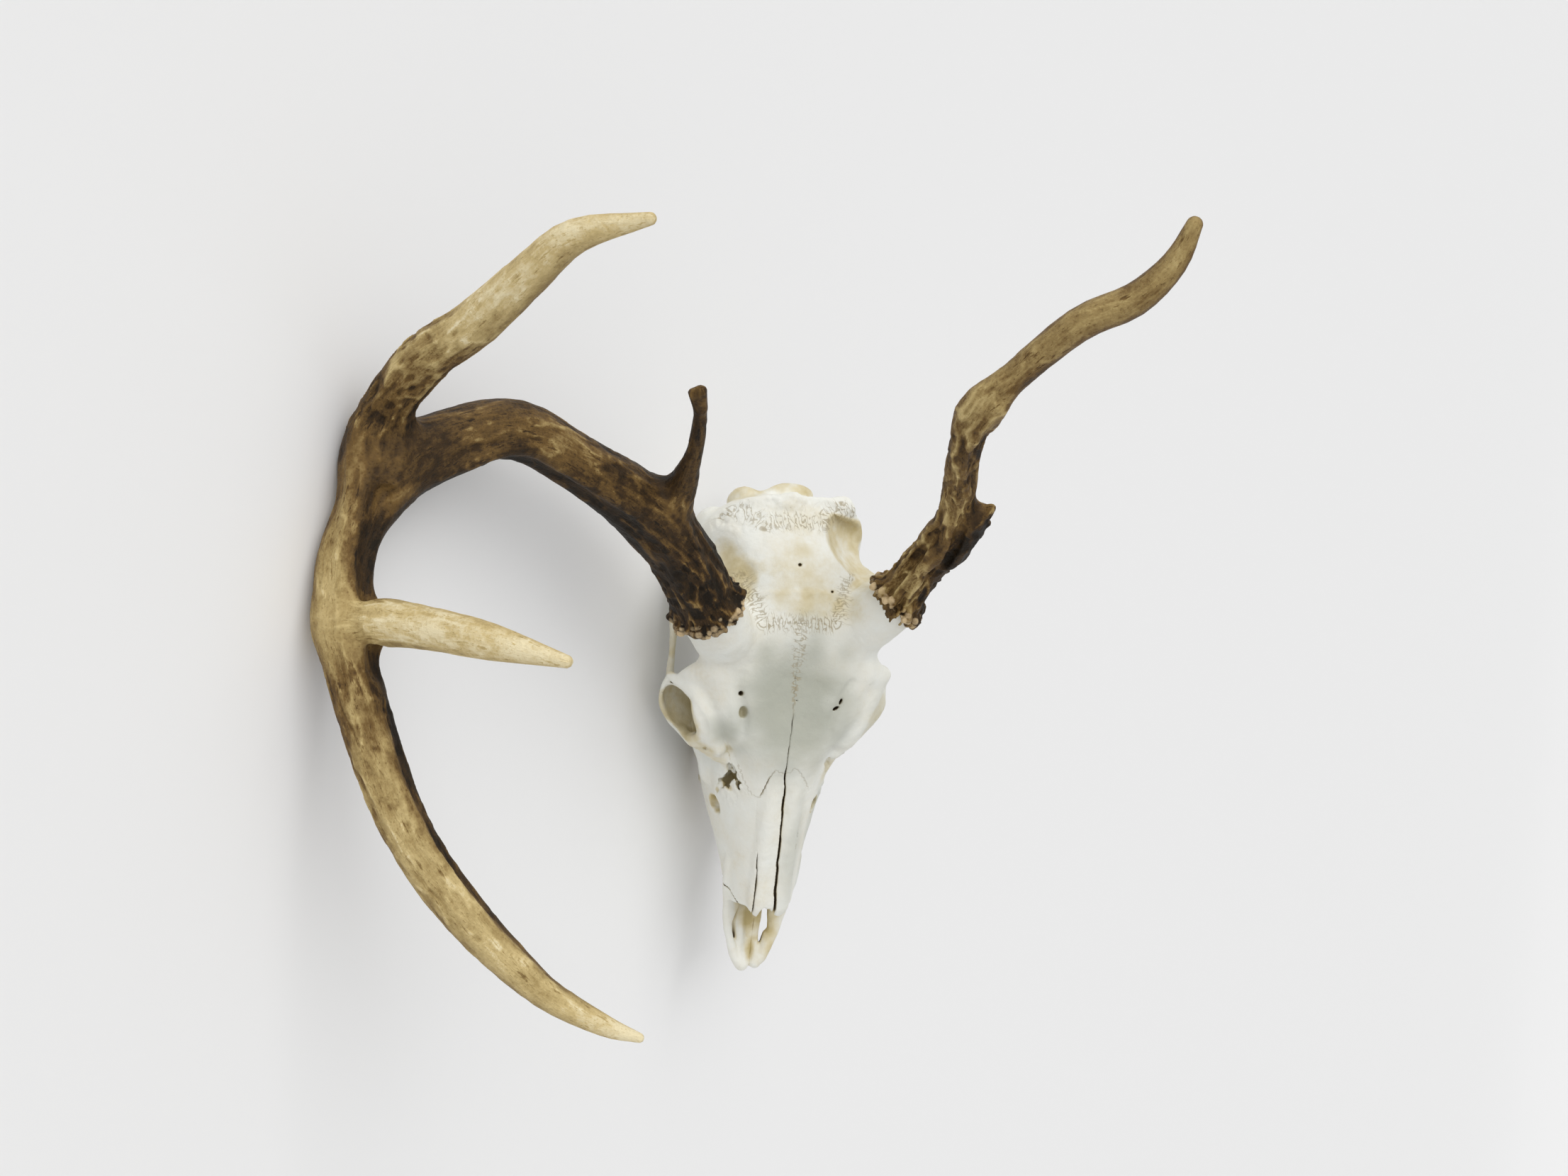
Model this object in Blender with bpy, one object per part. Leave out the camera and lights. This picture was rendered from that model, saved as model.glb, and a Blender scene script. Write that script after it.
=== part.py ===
"""Bleached skull of a white-tailed buck, without the lower jaw, with two unlike antlers.

The skull is laid out in its own frame, in millimetres: X to the animal's left, Y to the
back of the head, Z up from the plane the cheek teeth bite on.  Y = 0 lies at the middle
of the eye sockets and X = 0 on the midline.  One turn and one shift, REST_TURN and
REST_SHIFT, then lay it on the floor in metres, tipped over onto its right antler.
"""
import math

import bmesh
import bpy
import numpy
from mathutils import Euler, Matrix, Vector

# ---------------------------------------------------------------- driving sizes, in mm
GAP = 0.3                       # left open between two pieces that meet
JAW_TIP_Y = -165.0
BRAINCASE_WIDTH = 89.0
ORBIT_CENTRE = (53.0, -7.0, 73.5)
ORBIT_RADII = (31.0, 18.5, 17.5)
TOOTH_ROW_BACK = -11.0
TOOTH_LENGTHS = (17.0, 16.5, 14.0, 10.5, 9.5, 8.5)
TOOTH_WIDTHS = (14.0, 15.0, 14.0, 12.0, 10.0, 8.0)
TOOTH_CENTRES_X = (25.5, 25.0, 23.0, 20.0, 17.5, 15.5)
TOOTH_HEIGHT = 15.0
COARSE_GRAIN = 2.4              # size of the grain that melts the masses together
FINE_GRAIN = 1.7                # the same for the thin bones
SKULL_TRIANGLES = 4550
RING_SIDES = 10                 # sides of every round bar
ANTLER_STEPS = 2                # rings per span between two antler stations
LEAST_RING_GAP = 2.0            # between an antler piece's end and its next ring

# the resting place: turn from the skull frame to the floor, in degrees, and shift in mm
REST_TURN = (-4.81, -48.18, 97.59)
REST_SHIFT = (31.59, 183.24, 21.24)

# Sections across the head: (y, half width, bottom, top, squareness, narrowing upward)
CRANIUM = (
    (34.0, 29.0, 46.0, 104.0, 2.4, 0.0),
    (50.0, 36.0, 41.0, 109.0, 2.3, 0.0),
    (66.0, 42.5, 38.0, 108.0, 2.3, 0.0),
    (80.0, 0.5 * BRAINCASE_WIDTH, 37.0, 103.5, 2.2, 0.0),
    (92.0, 43.0, 38.0, 96.5, 2.3, 0.0),
    (100.0, 37.0, 41.0, 90.0, 2.3, 0.0),
    (106.0, 27.0, 44.0, 81.0, 2.2, 0.0),
    (110.0, 15.0, 48.0, 70.0, 2.0, 0.0),
)
FOREHEAD = (
    (-46.0, 15.0, 60.0, 87.5, 2.6, 0.0),
    (-34.0, 23.0, 58.0, 92.0, 2.8, 0.0),
    (-22.0, 33.0, 58.0, 96.0, 3.0, 0.0),
    (-10.0, 43.0, 60.0, 99.5, 3.2, 0.0),
    (2.0, 47.5, 62.0, 102.5, 3.2, 0.0),
    (14.0, 50.0, 64.0, 105.0, 3.2, 0.0),
    (28.0, 47.0, 66.0, 107.5, 3.0, 0.0),
    (42.0, 44.0, 62.0, 110.0, 2.6, 0.0),
    (56.0, 38.0, 58.0, 110.0, 2.4, 0.0),
)
FACE = (
    (-119.0, 19.5, 24.0, 61.0, 3.2, 0.42),
    (-105.0, 22.0, 22.0, 66.0, 3.2, 0.42),
    (-90.0, 25.0, 19.0, 71.0, 3.2, 0.45),
    (-72.0, 29.5, 12.0, 77.0, 3.0, 0.46),
    (-55.0, 33.5, 10.0, 82.5, 3.0, 0.44),
    (-38.0, 36.5, 10.0, 90.0, 3.0, 0.38),
    (-20.0, 36.5, 11.0, 95.0, 3.0, 0.28),
    (-5.0, 35.0, 14.0, 98.0, 2.8, 0.18),
    (8.0, 29.0, 22.0, 99.0, 2.6, 0.08),
    (20.0, 21.0, 32.0, 98.0, 2.4, 0.0),
)
SKULL_FLOOR = (
    (2.0, 12.0, 27.0, 60.0, 2.2, 0.0),
    (30.0, 10.0, 34.0, 60.0, 2.2, 0.0),
    (62.0, 12.0, 34.0, 56.0, 2.2, 0.0),
    (90.0, 14.0, 33.0, 56.0, 2.2, 0.0),
    (112.0, 12.0, 36.0, 56.0, 2.2, 0.0),
)

# Bars and ridges on the left side, (x, y, z, radius); the right side mirrors them
ORBIT_RIM = (
    (58.0, 12.0, 81.0, 4.0), (53.0, 6.0, 89.0, 4.6), (47.0, -6.0, 91.5, 4.6),
    (42.0, -16.5, 87.0, 4.0), (41.0, -22.5, 75.0, 3.6), (45.0, -21.5, 62.0, 3.4),
    (52.5, -14.0, 55.5, 3.2), (58.5, -2.0, 54.5, 3.2), (59.0, 8.0, 62.0, 3.2),
)
CHEEK_ARCH = (
    (33.0, -46.0, 43.0, 6.0), (38.0, -33.0, 46.0, 6.0), (48.0, -15.0, 49.0, 4.8),
    (57.5, 4.0, 51.5, 3.8), (60.0, 26.0, 55.0, 2.8), (58.0, 47.0, 53.0, 3.2),
    (52.0, 60.0, 48.0, 4.6), (45.0, 71.0, 47.0, 5.5),
)
NECK_CREST = (
    (43.0, 72.0, 54.0, 4.0), (45.5, 86.0, 62.0, 3.0), (42.0, 95.0, 70.0, 3.0),
    (32.0, 102.5, 79.0, 3.2), (17.0, 105.5, 84.5, 3.4), (0.0, 106.5, 86.5, 3.6),
)
SIDE_PRONG = ((33.0, 94.0, 50.0, 8.0), (32.0, 94.0, 32.0, 5.0), (28.0, 89.0, 9.0, 2.6))
JAW_EDGE = (
    (19.0, -96.0, 46.0, 3.0), (20.0, -112.0, 38.0, 3.4), (18.5, -128.0, 31.0, 3.2),
    (15.0, -143.0, 27.5, 3.0), (10.5, -155.0, 25.5, 3.2), (5.5, JAW_TIP_Y + 3.0, 24.5, 2.8),
)
BROW_SHELF = ((40.0, 15.0, 93.0, 8.0), (50.0, 14.0, 89.0, 6.5), (59.0, 12.0, 82.5, 4.6))
JAW_MIDDLE = ((3.6, -112.0, 28.0, 2.0), (3.4, -140.0, 26.0, 2.0), (4.6, -157.0, 25.0, 2.6))
PALATE_PLATE = ((15.0, -12.0, 24.0, 4.0), (13.0, 12.0, 28.0, 3.0), (12.5, 36.0, 32.0, 3.0))
PALATE_HOOK = ((13.0, 20.0, 30.0, 3.2), (13.0, 36.0, 24.0, 2.6), (13.5, 43.0, 16.0, 1.9))
PEDICLE_RIGHT = ((-30.0, 28.0, 82.0, 17.0), (-40.0, 37.0, 102.0, 17.5), (-52.0, 48.0, 121.0, 17.5))
PEDICLE_LEFT = ((30.0, 30.0, 82.0, 16.0), (39.0, 42.0, 101.0, 15.5), (50.0, 55.0, 121.0, 14.8))

# Rounded lumps on the left side, (centre, radii, turn in degrees)
CONDYLE_LEFT = ((9.5, 107.0, 49.0), (11.0, 8.5, 13.0), (-20.0, 0.0, 25.0))
CONDYLE_RIGHT = ((-17.0, 105.5, 49.0), (10.0, 8.0, 13.0), (-20.0, 0.0, -25.0))
EAR_BULLA = ((23.0, 74.0, 33.0), (8.0, 12.0, 9.0), (0.0, 0.0, 15.0))
JAW_SOCKET = ((43.0, 61.0, 46.0), (13.0, 9.0, 6.0), (0.0, 0.0, 0.0))
EAR_BACK = ((36.0, 92.0, 52.0), (9.0, 10.0, 15.0), (0.0, 0.0, 0.0))
ORBIT_FLOOR = ((41.0, -15.0, 50.0), (15.0, 18.0, 9.0), (0.0, 0.0, -28.0))
NASAL_TIP = ((5.8, -112.0, 61.0), (5.4, 13.0, 3.0), (13.0, 0.0, 0.0))
NECK_KNOB = ((0.0, 103.5, 83.0), (11.0, 6.0, 7.0), (0.0, 0.0, 0.0))

# Hollows on the left side, in the same form
TEMPLE_HOLLOW = ((57.0, 34.0, 73.0), (20.0, 24.0, 20.0), (0.0, 0.0, 12.0))
NOSE_HOLLOW = ((0.0, -120.0, 43.0), (14.5, 32.0, 15.5), (14.0, 0.0, 0.0))
PALATE_VAULT = ((0.0, -50.0, 4.0), (15.5, 100.0, 14.0), (0.0, 0.0, 0.0))
THROAT_HOLLOW = ((0.0, 14.0, 24.0), (9.0, 30.0, 12.0), (0.0, 0.0, 0.0))
NECK_OPENING = ((-3.0, 112.0, 57.0), (8.5, 16.0, 9.0), (-12.0, 0.0, 0.0))
TEAR_GAP = ((29.0, -43.0, 79.0), (4.0, 11.0, 6.0), (0.0, 0.0, 24.0))
NERVE_HOLE = ((31.0, -64.0, 48.0), (6.0, 5.0, 3.4), (0.0, 0.0, 20.0))

# Antler stations from the burr outward, (x, y, z, radius)
BEAM_RIGHT = (
    (-51.0, 48.0, 118.0, 16.7), (-76.0, 82.0, 149.0, 15.9), (-101.0, 103.0, 171.0, 15.7),
    (-134.0, 120.0, 197.0, 12.8), (-162.0, 132.0, 215.0, 13.2), (-188.0, 127.0, 229.0, 13.3),
    (-209.0, 116.0, 240.0, 14.4), (-221.0, 104.0, 247.0, 11.6),
)
BEAM_RIGHT_OUTER = (
    (-223.0, 118.0, 247.0, 10.2), (-228.0, 96.0, 251.0, 10.7), (-234.0, 75.0, 254.0, 11.5),
    (-235.0, 54.0, 258.0, 11.6), (-231.0, 30.0, 265.0, 10.8), (-216.0, -16.0, 277.0, 10.0),
    (-201.0, -45.0, 281.0, 9.4), (-179.0, -73.0, 283.0, 8.7), (-154.0, -98.0, 281.0, 6.6),
    (-129.0, -114.0, 278.0, 4.5), (-113.0, -121.0, 276.0, 2.1),
)
TINE_REAR = (
    (-223.0, 116.0, 247.0, 10.2), (-220.0, 135.0, 254.0, 9.9), (-206.0, 155.0, 276.0, 9.9),
    (-188.0, 168.0, 302.0, 9.2), (-171.0, 184.0, 332.0, 7.8), (-158.0, 195.0, 354.0, 6.2),
    (-135.0, 199.0, 378.0, 1.6),
)
TINE_FRONT = (
    (-233.0, 49.0, 258.0, 10.6), (-219.0, 51.0, 276.0, 9.7), (-202.0, 50.0, 296.0, 8.4),
    (-182.0, 47.0, 322.0, 7.0), (-157.0, 42.0, 351.0, 1.7),
)
TINE_BROW = (
    (-87.0, 92.0, 158.0, 10.9), (-81.0, 109.0, 179.0, 7.7), (-80.0, 124.0, 201.0, 4.2),
    (-81.0, 138.0, 218.0, 3.2), (-85.0, 151.0, 236.0, 2.9),
)
BEAM_LEFT = (
    (49.0, 54.0, 118.0, 13.4), (53.0, 72.0, 141.0, 11.5), (56.0, 95.0, 178.0, 10.1),
    (50.0, 113.0, 202.0, 7.8), (42.0, 133.0, 230.0, 7.5), (41.0, 149.0, 252.0, 8.6),
    (47.0, 159.0, 265.0, 6.9), (66.0, 182.0, 294.0, 7.4), (84.0, 192.0, 310.0, 7.2),
    (95.0, 206.0, 323.0, 5.6), (99.0, 221.0, 332.0, 3.5),
)
BROW_STUB = (
    (58.0, 84.0, 168.0, 9.6), (62.0, 95.0, 184.0, 8.0), (69.0, 104.0, 197.0, 2.1),
)
BURR_FLARE = 4.2                # how far the burr stands out round an antler's base
BURR_LENGTH = 9.0
BURR_RINGS = (0.35, 0.7, 1.0)   # where rings follow the flare, as shares of its length
PEDICLE_CUTTER = (30.0, 40.0)   # radius and depth of the cylinder that trims a pedicle

# Where the beams are parted, as a share of each path's length
RIGHT_PARTING = 0.34
OUTER_PARTING = 0.30
LEFT_PARTINGS = (0.30, 0.58)

# The sutures along which the skull is parted: (point, outward direction) of a plane
NASAL_BOX = ((-12.5, -140.0, 0.0), (12.5, -38.0, 250.0))
NASAL_FLOOR = ((0.0, -125.0, 55.5), (0.0, 0.33, -1.0))
FRONT_JAW_SEAM = ((0.0, -108.0, 40.0), (0.0, 1.0, 0.32))
NECK_SEAM = ((0.0, 102.0, 92.0), (0.0, -1.0, 0.22))
CORONAL_SEAMS = (
    ((0.0, 44.0, 110.0), (0.0, -1.0, 0.05)), ((-30.0, 44.0, 110.0), (-0.55, -0.75, 0.35)),
    ((30.0, 44.0, 110.0), (0.55, -0.75, 0.35)),
)
BRAINCASE_FLOOR_Z = 46.0
ARCH_BOX = ((46.0, -44.0, 38.0), (250.0, 90.0, 71.0))
FRONTAL_FRONT_Y = -38.0
FRONTAL_FLOOR_Z = 66.0
SKULL_BASE_FRONT_Y = 3.0
FAR = 250.0                     # past every part of the skull

COLORS = {
    "bone": (0.86, 0.86, 0.83),
    "tooth": (0.82, 0.79, 0.70),
    "antler_right": (0.33, 0.22, 0.12),
    "antler_left": (0.30, 0.23, 0.14),
}


# ---------------------------------------------------------------------- making shapes
def new_object(name, mesh_tool, hidden=False):
    """Puts a finished bmesh into an object of that name."""
    bmesh.ops.recalc_face_normals(mesh_tool, faces=mesh_tool.faces)
    mesh = bpy.data.meshes.new(name)
    mesh_tool.to_mesh(mesh)
    mesh_tool.free()
    obj = bpy.data.objects.new(name, mesh)
    bpy.context.collection.objects.link(obj)
    obj.hide_render = hidden
    if hidden:
        obj.display_type = "WIRE"
    return obj


def grid_solid(name, rings):
    """A closed solid skinned over rings of equal count, with a fan cap on both ends."""
    tool = bmesh.new()
    rows = [[tool.verts.new(point) for point in ring] for ring in rings]
    count = len(rows[0])
    for near, far in zip(rows, rows[1:]):
        for i in range(count):
            j = (i + 1) % count
            tool.faces.new((near[i], near[j], far[j], far[i]))
    for row in (rows[0], rows[-1]):
        middle = tool.verts.new(sum((v.co for v in row), Vector()) / count)
        for i in range(count):
            tool.faces.new((row[i], row[(i + 1) % count], middle))
    return new_object(name, tool, hidden=True)


def smooth_rows(rows, steps):
    """Catmull-Rom curve through rows of numbers, with that many steps in each span."""
    knots = numpy.array(rows, dtype=float)
    knots = numpy.vstack((2 * knots[0] - knots[1], knots, 2 * knots[-1] - knots[-2]))
    t = numpy.linspace(0.0, 1.0, steps, endpoint=False)[:, None]
    spans = []
    for a, b, c, d in zip(knots, knots[1:], knots[2:], knots[3:]):
        spans.append(0.5 * (2 * b + (c - a) * t + (2 * a - 5 * b + 4 * c - d) * t ** 2
                            + (3 * b - 3 * c + d - a) * t ** 3))
    return numpy.vstack(spans + [knots[-2][None, :]])


def loft(name, sections, sides=36, steps=4):
    """Superellipse sections across Y: |x/w|^n + |z/h|^n = 1, narrowed toward the top."""
    rings = []
    for y, half_width, bottom, top, power, narrowing in smooth_rows(sections, steps):
        middle = 0.5 * (bottom + top)
        half_height = 0.5 * (top - bottom)
        ring = []
        for i in range(sides):
            angle = 2 * math.pi * i / sides
            across = math.copysign(abs(math.cos(angle)) ** (2 / power), math.cos(angle))
            up = math.copysign(abs(math.sin(angle)) ** (2 / power), math.sin(angle))
            width = half_width * (1 - narrowing * (0.5 + 0.5 * up) ** 2)
            ring.append((across * width, y, middle + up * half_height))
        rings.append(ring)
    return grid_solid(name, rings)


def carried_frames(path):
    """Two side directions at each point of a path, carried along without twist."""
    ahead = numpy.gradient(path, axis=0)
    ahead /= numpy.linalg.norm(ahead, axis=1)[:, None]
    side = numpy.cross(ahead[0], (0.0, 0.0, 1.0))
    if numpy.linalg.norm(side) < 0.1:
        side = numpy.cross(ahead[0], (0.0, 1.0, 0.0))
    sides = []
    for direction in ahead:
        side = side - direction * numpy.dot(side, direction)
        side = side / numpy.linalg.norm(side)
        sides.append(side)
    sides = numpy.array(sides)
    return ahead, sides, numpy.cross(ahead, sides)


def tube(name, stations, sides=RING_SIDES, steps=3, grow=0.0, mirrored=False):
    """A round bar along a smooth path; the radius is the fourth number of a station."""
    rows = smooth_rows(stations, steps)
    path = rows[:, :3].copy()
    if mirrored:
        path[:, 0] *= -1
    _, side, other = carried_frames(path)
    angles = 2 * math.pi * numpy.arange(sides) / sides
    rings = []
    for point, a, b, radius in zip(path, side, other, rows[:, 3] + grow):
        rings.append([point + radius * (math.cos(t) * a + math.sin(t) * b) for t in angles])
    return grid_solid(name, rings)


def lump(name, shape, mirrored=False):
    """An ellipsoid from its centre, radii and turn."""
    centre, radii, turn = shape
    tool = bmesh.new()
    bmesh.ops.create_uvsphere(tool, u_segments=24, v_segments=16, radius=1.0)
    place = Matrix.Translation(centre) @ Euler([math.radians(a) for a in turn]).to_matrix().to_4x4()
    place = place @ Matrix.Diagonal((*radii, 1.0))
    if mirrored:
        place = Matrix.Diagonal((-1.0, 1.0, 1.0, 1.0)) @ place
    tool.transform(place)
    return new_object(name, tool, hidden=True)


def tooth(name, x, y, length, width, mirrored):
    """One cheek tooth, a block with rounded edges that narrows toward its biting end."""
    tool = bmesh.new()
    bmesh.ops.create_cube(tool, size=1.0)
    side = -1.0 if mirrored else 1.0
    for vertex in tool.verts:
        spread = 0.86 if vertex.co.z < 0 else 1.0
        vertex.co.x = side * x + vertex.co.x * width * spread
        vertex.co.y = y + vertex.co.y * (length - 1.6) * spread
        vertex.co.z = (vertex.co.z + 0.5) * TOOTH_HEIGHT
    bmesh.ops.bevel(tool, geom=tool.edges[:], offset=1.6, segments=1, affect="EDGES")
    return new_object(name, tool, hidden=True)


def both_sides(maker, name, *values):
    """The left piece and its mirror image."""
    return [maker(name + "_l", *values), maker(name + "_r", *values, mirrored=True)]


# --------------------------------------------------------------------- working on them
def evaluated_mesh(obj):
    """Replaces an object's mesh by what its modifiers make of it."""
    graph = bpy.context.evaluated_depsgraph_get()
    graph.update()
    mesh = bpy.data.meshes.new_from_object(obj.evaluated_get(graph))
    obj.modifiers.clear()
    obj.data = mesh
    return obj


def remove(objects):
    for obj in objects:
        bpy.data.objects.remove(obj)


def melt(name, objects, grain):
    """Joins overlapping solids into one skin on a grid of that grain."""
    tool = bmesh.new()
    for obj in objects:
        tool.from_mesh(obj.data)
    remove(objects)
    joined = new_object(name, tool)
    remesh = joined.modifiers.new("one skin", "REMESH")
    remesh.mode = "VOXEL"
    remesh.voxel_size = grain
    return evaluated_mesh(joined)


def combine(obj, other, operation):
    """One exact Boolean with another solid, which stays as it is."""
    step = obj.modifiers.new("boolean", "BOOLEAN")
    step.operation = operation
    step.solver = "EXACT"
    step.object = other
    return evaluated_mesh(obj)


def carve(obj, cutters):
    """Takes each cutter out of a solid and then removes the cutters."""
    for cutter in cutters:
        combine(obj, cutter, "DIFFERENCE")
    remove(cutters)
    return obj


def soften(obj, factor, rounds):
    """Evens out a remeshed skin."""
    smooth = obj.modifiers.new("even", "SMOOTH")
    smooth.factor = factor
    smooth.iterations = rounds
    return evaluated_mesh(obj)


def thin_out(obj, triangles):
    """Reduces a skin to about that many triangles."""
    obj.data.calc_loop_triangles()
    decimate = obj.modifiers.new("fewer", "DECIMATE")
    decimate.ratio = triangles / len(obj.data.loop_triangles)
    decimate.use_collapse_triangulate = True
    return evaluated_mesh(obj)


def copy_of(obj, name):
    twin = bpy.data.objects.new(name, obj.data.copy())
    bpy.context.collection.objects.link(twin)
    return twin


def keep_main_body(obj):
    """Drops crumbs that a cut has left beside the main body."""
    tool = bmesh.new()
    tool.from_mesh(obj.data)
    left = set(tool.verts)
    bodies = []
    while left:
        front = [left.pop()]
        body = set(front)
        while front:
            for edge in front.pop().link_edges:
                for vertex in edge.verts:
                    if vertex in left:
                        left.remove(vertex)
                        body.add(vertex)
                        front.append(vertex)
        bodies.append(body)
    bodies.sort(key=len)
    for body in bodies[:-1]:
        bmesh.ops.delete(tool, geom=list(body), context="VERTS")
    tool.to_mesh(obj.data)
    tool.free()
    return obj


def region(name, low, high, planes=()):
    """A box between two corners, trimmed by planes that each keep their inner side."""
    tool = bmesh.new()
    bmesh.ops.create_cube(tool, size=1.0)
    middle = (Vector(low) + Vector(high)) / 2
    size = Vector(high) - Vector(low)
    tool.transform(Matrix.Translation(middle) @ Matrix.Diagonal((*size, 1.0)))
    for point, outward in planes:
        trimmed = bmesh.ops.bisect_plane(
            tool, geom=tool.verts[:] + tool.edges[:] + tool.faces[:], dist=1e-5,
            plane_co=point, plane_no=outward, clear_outer=True)
        edges = [item for item in trimmed["geom_cut"] if isinstance(item, bmesh.types.BMEdge)]
        bmesh.ops.edgeloop_fill(tool, edges=edges)
    return new_object(name, tool, hidden=True)


def peel(whole, name, low, high, planes=()):
    """Takes the part of the skull inside a region off as a node, with a thin gap round it."""
    inner = region(name + "_region", low, high, planes)
    piece = copy_of(whole, name)
    combine(piece, inner, "INTERSECT")
    wide_low = [value - GAP for value in low]
    wide_high = [value + GAP for value in high]
    wide_planes = [(Vector(p) + Vector(n).normalized() * GAP, n) for p, n in planes]
    outer = region(name + "_margin", wide_low, wide_high, wide_planes)
    combine(whole, outer, "DIFFERENCE")
    remove((inner, outer))
    return keep_main_body(piece)


def part_sides(whole, name):
    """Parts a piece along the midline into its right and its left half."""
    halves = []
    for side, low_x, high_x in (("right", -FAR, -GAP / 2), ("left", GAP / 2, FAR)):
        half = copy_of(whole, name + "_" + side)
        box = region(name + "_half", (low_x, -FAR, -FAR), (high_x, FAR, FAR))
        combine(half, box, "INTERSECT")
        remove((box,))
        halves.append(keep_main_body(half))
    remove((whole,))
    return halves


# --------------------------------------------------------------------------- the skull
def head_masses():
    """Braincase, forehead, face, skull floor and pedicles melted together and hollowed."""
    solids = [
        loft("cranium", CRANIUM),
        loft("forehead", FOREHEAD),
        loft("face", FACE),
        loft("skull_floor", SKULL_FLOOR),
        tube("pedicle_right", PEDICLE_RIGHT, sides=20),
        tube("pedicle_left", PEDICLE_LEFT, sides=20),
    ]
    solids += both_sides(lump, "orbit_floor", ORBIT_FLOOR)
    solids += both_sides(tube, "brow_shelf", BROW_SHELF)
    head = soften(melt("head", solids, COARSE_GRAIN), 0.6, 5)
    orbit = (ORBIT_CENTRE, ORBIT_RADII, (0.0, -12.0, -8.0))
    cutters = both_sides(lump, "orbit", orbit)
    cutters += both_sides(lump, "temple", TEMPLE_HOLLOW)
    cutters.append(lump("nose", NOSE_HOLLOW))
    cutters.append(lump("palate", PALATE_VAULT))
    cutters.append(lump("throat", THROAT_HOLLOW))
    return carve(head, cutters)


def thin_bones():
    """Rims, arches, crest, prongs, condyles, nasal tips, front jaw bars and teeth."""
    closed_rim = ORBIT_RIM + ORBIT_RIM[:2]
    solids = []
    solids += both_sides(tube, "orbit_rim", closed_rim)
    solids += both_sides(tube, "cheek_arch", CHEEK_ARCH)
    solids += both_sides(tube, "neck_crest", NECK_CREST)
    solids += both_sides(tube, "side_prong", SIDE_PRONG)
    solids += both_sides(tube, "jaw_edge", JAW_EDGE)
    solids += both_sides(tube, "jaw_middle", JAW_MIDDLE)
    solids += both_sides(tube, "palate_plate", PALATE_PLATE)
    solids += both_sides(tube, "palate_hook", PALATE_HOOK)
    solids += [lump("condyle_l", CONDYLE_LEFT), lump("condyle_r", CONDYLE_RIGHT)]
    solids += both_sides(lump, "ear_bulla", EAR_BULLA)
    solids += both_sides(lump, "jaw_socket", JAW_SOCKET)
    solids += both_sides(lump, "ear_back", EAR_BACK)
    solids += both_sides(lump, "nasal_tip", NASAL_TIP)
    solids.append(lump("neck_knob", NECK_KNOB))
    y = TOOTH_ROW_BACK
    for length, width, x in zip(TOOTH_LENGTHS, TOOTH_WIDTHS, TOOTH_CENTRES_X):
        for mirrored in (False, True):
            solids.append(tooth("tooth", x, y - length / 2, length, width, mirrored))
        y -= length
    return solids


def make_skull():
    """The whole skull as one skin, ready to be parted."""
    skull = melt("skull", [head_masses()] + thin_bones(), FINE_GRAIN)
    soften(skull, 0.5, 3)
    holes = [lump("neck_opening", NECK_OPENING)]
    holes += both_sides(lump, "tear_gap", TEAR_GAP)
    holes += both_sides(lump, "nerve_hole", NERVE_HOLE)
    carve(skull, holes)
    return thin_out(skull, SKULL_TRIANGLES)


def part_skull(skull):
    """The named bones of the skull, parted along their main sutures."""
    low, high = (-FAR, -FAR, -FAR), (FAR, FAR, FAR)
    left_low, left_high = ARCH_BOX
    right_low = (-left_high[0], left_low[1], left_low[2])
    right_high = (-left_low[0], left_high[1], left_high[2])
    nodes = part_sides(peel(skull, "nasal", *NASAL_BOX, [NASAL_FLOOR]), "nasal")
    front_jaw = peel(skull, "premaxilla", low, high, [FRONT_JAW_SEAM])
    nodes += part_sides(front_jaw, "premaxilla")
    nodes.append(peel(skull, "occiput", low, high, [NECK_SEAM]))
    nodes.append(peel(skull, "braincase", (-FAR, -FAR, BRAINCASE_FLOOR_Z), high, CORONAL_SEAMS))
    nodes.append(peel(skull, "zygomatic_right", right_low, right_high))
    nodes.append(peel(skull, "zygomatic_left", left_low, left_high))
    frontals = peel(skull, "frontal", (-FAR, FRONTAL_FRONT_Y, FRONTAL_FLOOR_Z), high)
    nodes += part_sides(frontals, "frontal")
    nodes.append(peel(skull, "skull_base", (-FAR, SKULL_BASE_FRONT_Y, -FAR), high))
    skull.name = "maxilla"
    nodes += part_sides(skull, "maxilla")
    return nodes


# -------------------------------------------------------------------------- the antlers
class Branch:
    """One beam or tine: its smooth path, radii and the frames carried along it."""

    def __init__(self, stations, has_burr=False):
        rows = smooth_rows(stations, ANTLER_STEPS)
        self.path = rows[:, :3]
        self.radii = rows[:, 3]
        _, self.side, self.other = carried_frames(self.path)
        steps = numpy.linalg.norm(numpy.diff(self.path, axis=0), axis=1)
        self.at = numpy.concatenate(([0.0], numpy.cumsum(steps)))
        self.length = self.at[-1]
        self.has_burr = has_burr

    def read(self, values, distance):
        return numpy.array([numpy.interp(distance, self.at, column) for column in values.T])

    def ring(self, distance, grow):
        """The points of the antler's outline round its path at that distance."""
        centre = self.read(self.path, distance)
        a = self.read(self.side, distance)
        b = self.read(self.other, distance)
        radius = numpy.interp(distance, self.at, self.radii) + grow
        if self.has_burr and distance < BURR_LENGTH:
            radius += BURR_FLARE * math.cos(0.5 * math.pi * distance / BURR_LENGTH)
        turns = [2 * math.pi * i / RING_SIDES for i in range(RING_SIDES)]
        return [centre + radius * (math.cos(t) * a + math.sin(t) * b) for t in turns]

    def stretch(self, name, start=0.0, end=1.0, grow=0.0):
        """A closed length of the branch between two shares of its path."""
        first = start * self.length + (GAP if start > 0 else 0.0)
        last = end * self.length
        marks = list(self.at)
        if self.has_burr:
            marks += [share * BURR_LENGTH for share in BURR_RINGS]
        low, high = first + LEAST_RING_GAP, last - LEAST_RING_GAP
        inner = [mark for mark in sorted(marks) if low < mark < high]
        rings = [self.ring(mark, grow) for mark in [first] + inner + [last]]
        return grid_solid(name, rings)


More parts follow.
